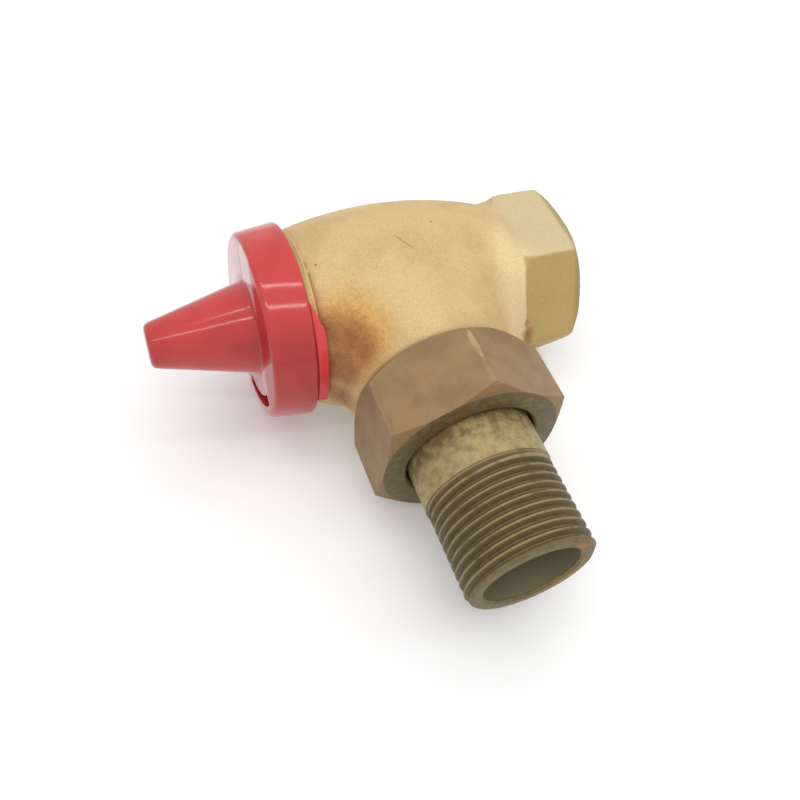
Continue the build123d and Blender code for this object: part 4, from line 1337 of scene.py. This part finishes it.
class VALVE_OT_tailpiece(Operator):
    """Turn the tailpiece and cut its thread"""

    bl_idname = "valve.tailpiece"
    bl_label = "Tailpiece"

    def execute(self, context):
        union = context.scene.valve_union_sizes
        crest = MOUNTS["outlet"]["r_mm"] * MM
        face, end = TAIL_HIGH.y, TAIL_LOW.y
        collar = TAIL_HIGH.x - TAIL_X
        thread_start = end + union.thread_length
        spots = [
            (face, union.bore_radius),
            (face, union.ring_mean - union.ring_half),
            (face - union.ring_depth, union.ring_mean - union.ring_half),
            (face - union.ring_depth, union.ring_mean + union.ring_half),
            (face, union.ring_mean + union.ring_half),
            (face, collar),
            (face - union.collar, collar),
            (face - union.collar, union.shank_radius),
            (thread_start, union.shank_radius),
            (thread_start, crest),
            (end + union.end_chamfer, crest),
            (end, crest - union.end_chamfer),
            (end, union.bore_radius + union.bore_chamfer),
            (end + union.bore_chamfer, union.bore_radius),
        ]
        bm = bmesh.new()
        TAIL.spin(bm, spots)
        worn = ((face, collar), (face - union.collar, collar), (end, crest - union.end_chamfer))
        for place, radius in worn:
            round_edges(bm, TAIL.ring(bm, place, radius), union.edge_round)
        piece = solid("tailpiece_turned", bm)
        pitch = union.thread_pitch
        root = crest - union.thread_depth
        thread = thread_tool(TAIL, end - pitch, thread_start, crest, root, pitch, TAIL_RUNOUT)
        combine(piece, thread, "DIFFERENCE")
        shade(piece)
        finish = tail_brass(context.scene.valve_colours, thread_start / MM)
        dress(piece, finish, "tail_brass", "tail", "tailpiece")
        return {"FINISHED"}


class VALVE_OT_insert(Operator):
    """Finish the valve insert, its seals and its moving stem"""

    bl_idname = "valve.insert"
    bl_label = "Valve insert"

    def execute(self, context):
        colours = context.scene.valve_colours
        finishes = {
            "turned_brass": turned_brass(colours),
            "black_rubber": black_rubber(colours),
            "stainless_steel": stainless_steel(colours),
            "white_plastic": white_plastic(colours),
        }
        for slot, names in INSERT_NODES.items():
            for name in names:
                node = frame["nodes"][name]
                node.data.materials.clear()
                node.data.materials.append(finishes[slot])
        bm = bmesh.new()
        bm.from_mesh(frame["nodes"]["return_spring"].data)
        close_skin(bm)
        spring = solid("return_spring_coil", bm)
        shade(spring)
        dress(spring, finishes["stainless_steel"], "stainless_steel", "valve", "return_spring")
        keep = 1 - LIFT / (SPRING_HIGH.x - SPRING_LOW.x)
        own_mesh(spring)
        return {"FINISHED"}


def seen_rays(start):
    """1 for a ray that the camera sees, straight, in a reflection or through a piece, and else 0."""
    path = [start.node("ShaderNodeLightPath", output=name) for name in SEEN_RAYS]
    return path[0].largest(path[1]).largest(path[2])


def floor_finish(stage):
    """Pale floor that keeps the valve's shadow and reads as white to the camera."""
    finish = Finish("floor")
    seen = seen_rays(finish.start)
    plain = finish.start.node("ShaderNodeBsdfDiffuse", sockets={"Color": (1, 1, 1)})
    glow = finish.start.node("ShaderNodeEmission", sockets={"Color": (1, 1, 1), "Strength": 1.0})
    share = seen * stage.floor_glow
    mixed = finish.start.node("ShaderNodeMixShader", sockets={0: share, 1: plain, 2: glow})
    finish.start.node("ShaderNodeOutputMaterial", sockets={"Surface": mixed})
    return finish.material


def white_surround(stage):
    """World that is white where it is seen and a soft fill where it only lights."""
    world = bpy.data.worlds.new("white_surround")
    world.use_nodes = True
    world.node_tree.nodes.clear()
    start = Signal(world.node_tree)
    strength = seen_rays(start) * (1 - stage.fill) + stage.fill
    light = start.node("ShaderNodeBackground", sockets={"Color": (1, 1, 1), "Strength": strength})
    start.node("ShaderNodeOutputWorld", sockets={"Surface": light})
    return world


def lay_floor(stage, centre, up):
    """The floor, which touches the valve's lowest point."""
    lowest = min(up.dot(vert.co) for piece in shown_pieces() for vert in piece.data.vertices)
    turn = up.to_track_quat("Z", "Y").to_matrix().to_4x4()
    place = Matrix.Translation(centre + up * (lowest - up.dot(centre))) @ turn
    bm = bmesh.new()
    bmesh.ops.create_grid(bm, x_segments=1, y_segments=1, size=stage.floor_size / 2, matrix=place)
    floor = solid("floor", bm)
    floor.data.materials.append(floor_finish(stage))
    floor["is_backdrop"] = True


def place_camera(scene, centre):
    """The camera that sees the valve as the photo does. Hands over its right and its upward direction."""
    stage = scene.valve_stage
    back = Vector((
        sin(stage.azimuth) * cos(stage.elevation),
        -cos(stage.azimuth) * cos(stage.elevation),
        sin(stage.elevation),
    ))
    level = Vector((cos(stage.azimuth), sin(stage.azimuth), 0))
    upright = back.cross(level)
    right = level * cos(stage.roll) + upright * sin(stage.roll)
    over = upright * cos(stage.roll) - level * sin(stage.roll)
    aim = centre + right * stage.aim_right + over * stage.aim_up
    view = bpy.data.cameras.new("camera")
    view.lens = stage.lens
    view.sensor_width = SENSOR_WIDTH
    view.clip_start = NEAR_CLIP
    camera = bpy.data.objects.new("camera", view)
    camera.matrix_world = placed(aim + back * stage.distance, right, over, back)
    scene.collection.objects.link(camera)
    scene.camera = camera
    return right, over


def hang_key(scene, centre, spot):
    """The soft overhead light, which shows in no reflection."""
    stage = scene.valve_stage
    lamp = bpy.data.lights.new("key", "AREA")
    lamp.shape = "SQUARE"
    lamp.size = stage.key_size
    lamp.energy = stage.key_power
    key = bpy.data.objects.new("key", lamp)
    turn = (spot - centre).to_track_quat("Z", "Y").to_matrix().to_4x4()
    key.matrix_world = Matrix.Translation(spot) @ turn
    key.visible_glossy = False
    scene.collection.objects.link(key)


def hang_strip(scene, centre, towards, side):
    """A ceiling strip light, which draws a long highlight on the cap."""
    stage = scene.valve_stage
    lamp = bpy.data.lights.new("strip", "AREA")
    lamp.shape = "RECTANGLE"
    lamp.size = stage.strip_length
    lamp.size_y = stage.strip_width
    lamp.energy = stage.strip_power
    strip = bpy.data.objects.new("strip", lamp)
    spot = centre + towards * stage.strip_distance
    strip.matrix_world = placed(spot, side, towards.cross(side), towards)
    scene.collection.objects.link(strip)


class VALVE_OT_stage(Operator):
    """Lay the floor under the valve and set the light and the camera"""

    bl_idname = "valve.stage"
    bl_label = "Stage"

    def execute(self, context):
        scene = context.scene
        stage = scene.valve_stage
        up = Vector(stage.floor_tilt).normalized()
        centre = Vector((TAIL_X, 0, 0))
        lay_floor(stage, centre, up)
        right, over = place_camera(scene, centre)
        away = (over - up * over.dot(up)).normalized()
        hang_key(scene, centre, centre + up * KEY_HEIGHT + away * KEY_AWAY + right * KEY_RIGHT)
        side = away.cross(up)
        for towards in (up, up * cos(stage.strip_lean) - away * sin(stage.strip_lean)):
            hang_strip(scene, centre, towards, side)
        scene.world = white_surround(stage)
        scene.view_settings.view_transform = "Standard"
        return {"FINISHED"}


class VALVE_PT_panel(Panel):
    """The valve's pieces and sizes"""

    bl_idname = "VALVE_PT_panel"
    bl_label = "Angle radiator valve"
    bl_space_type = "VIEW_3D"
    bl_region_type = "UI"
    bl_category = "Valve"

    def draw(self, context):
        for operator in OPERATORS:
            self.layout.operator(operator.bl_idname)
        for name, group in GROUPS.items():
            box = self.layout.box()
            for field in group.__annotations__:
                box.prop(getattr(context.scene, name), field)


GROUPS = {
    "valve_body_sizes": BodySizes,
    "valve_cap_sizes": CapSizes,
    "valve_union_sizes": UnionSizes,
    "valve_colours": FinishColours,
    "valve_stage": StageSizes,
}
OPERATORS = (
    VALVE_OT_body,
    VALVE_OT_cap,
    VALVE_OT_union_nut,
    VALVE_OT_tailpiece,
    VALVE_OT_insert,
    VALVE_OT_stage,
)


def register():
    for group in GROUPS.values():
        bpy.utils.register_class(group)
    for operator in OPERATORS:
        bpy.utils.register_class(operator)
    bpy.utils.register_class(VALVE_PT_panel)
    for name, group in GROUPS.items():
        setattr(bpy.types.Scene, name, PointerProperty(type=group))


def unregister():
    for name in GROUPS:
        delattr(bpy.types.Scene, name)
    bpy.utils.unregister_class(VALVE_PT_panel)
    for operator in reversed(OPERATORS):
        bpy.utils.unregister_class(operator)
    for group in reversed(GROUPS.values()):
        bpy.utils.unregister_class(group)


def main():
    register()
    bpy.ops.valve.body()
    bpy.ops.valve.cap()
    bpy.ops.valve.union_nut()
    bpy.ops.valve.tailpiece()
    bpy.ops.valve.insert()
    bpy.ops.valve.stage()


if __name__ == "__main__":
    main()
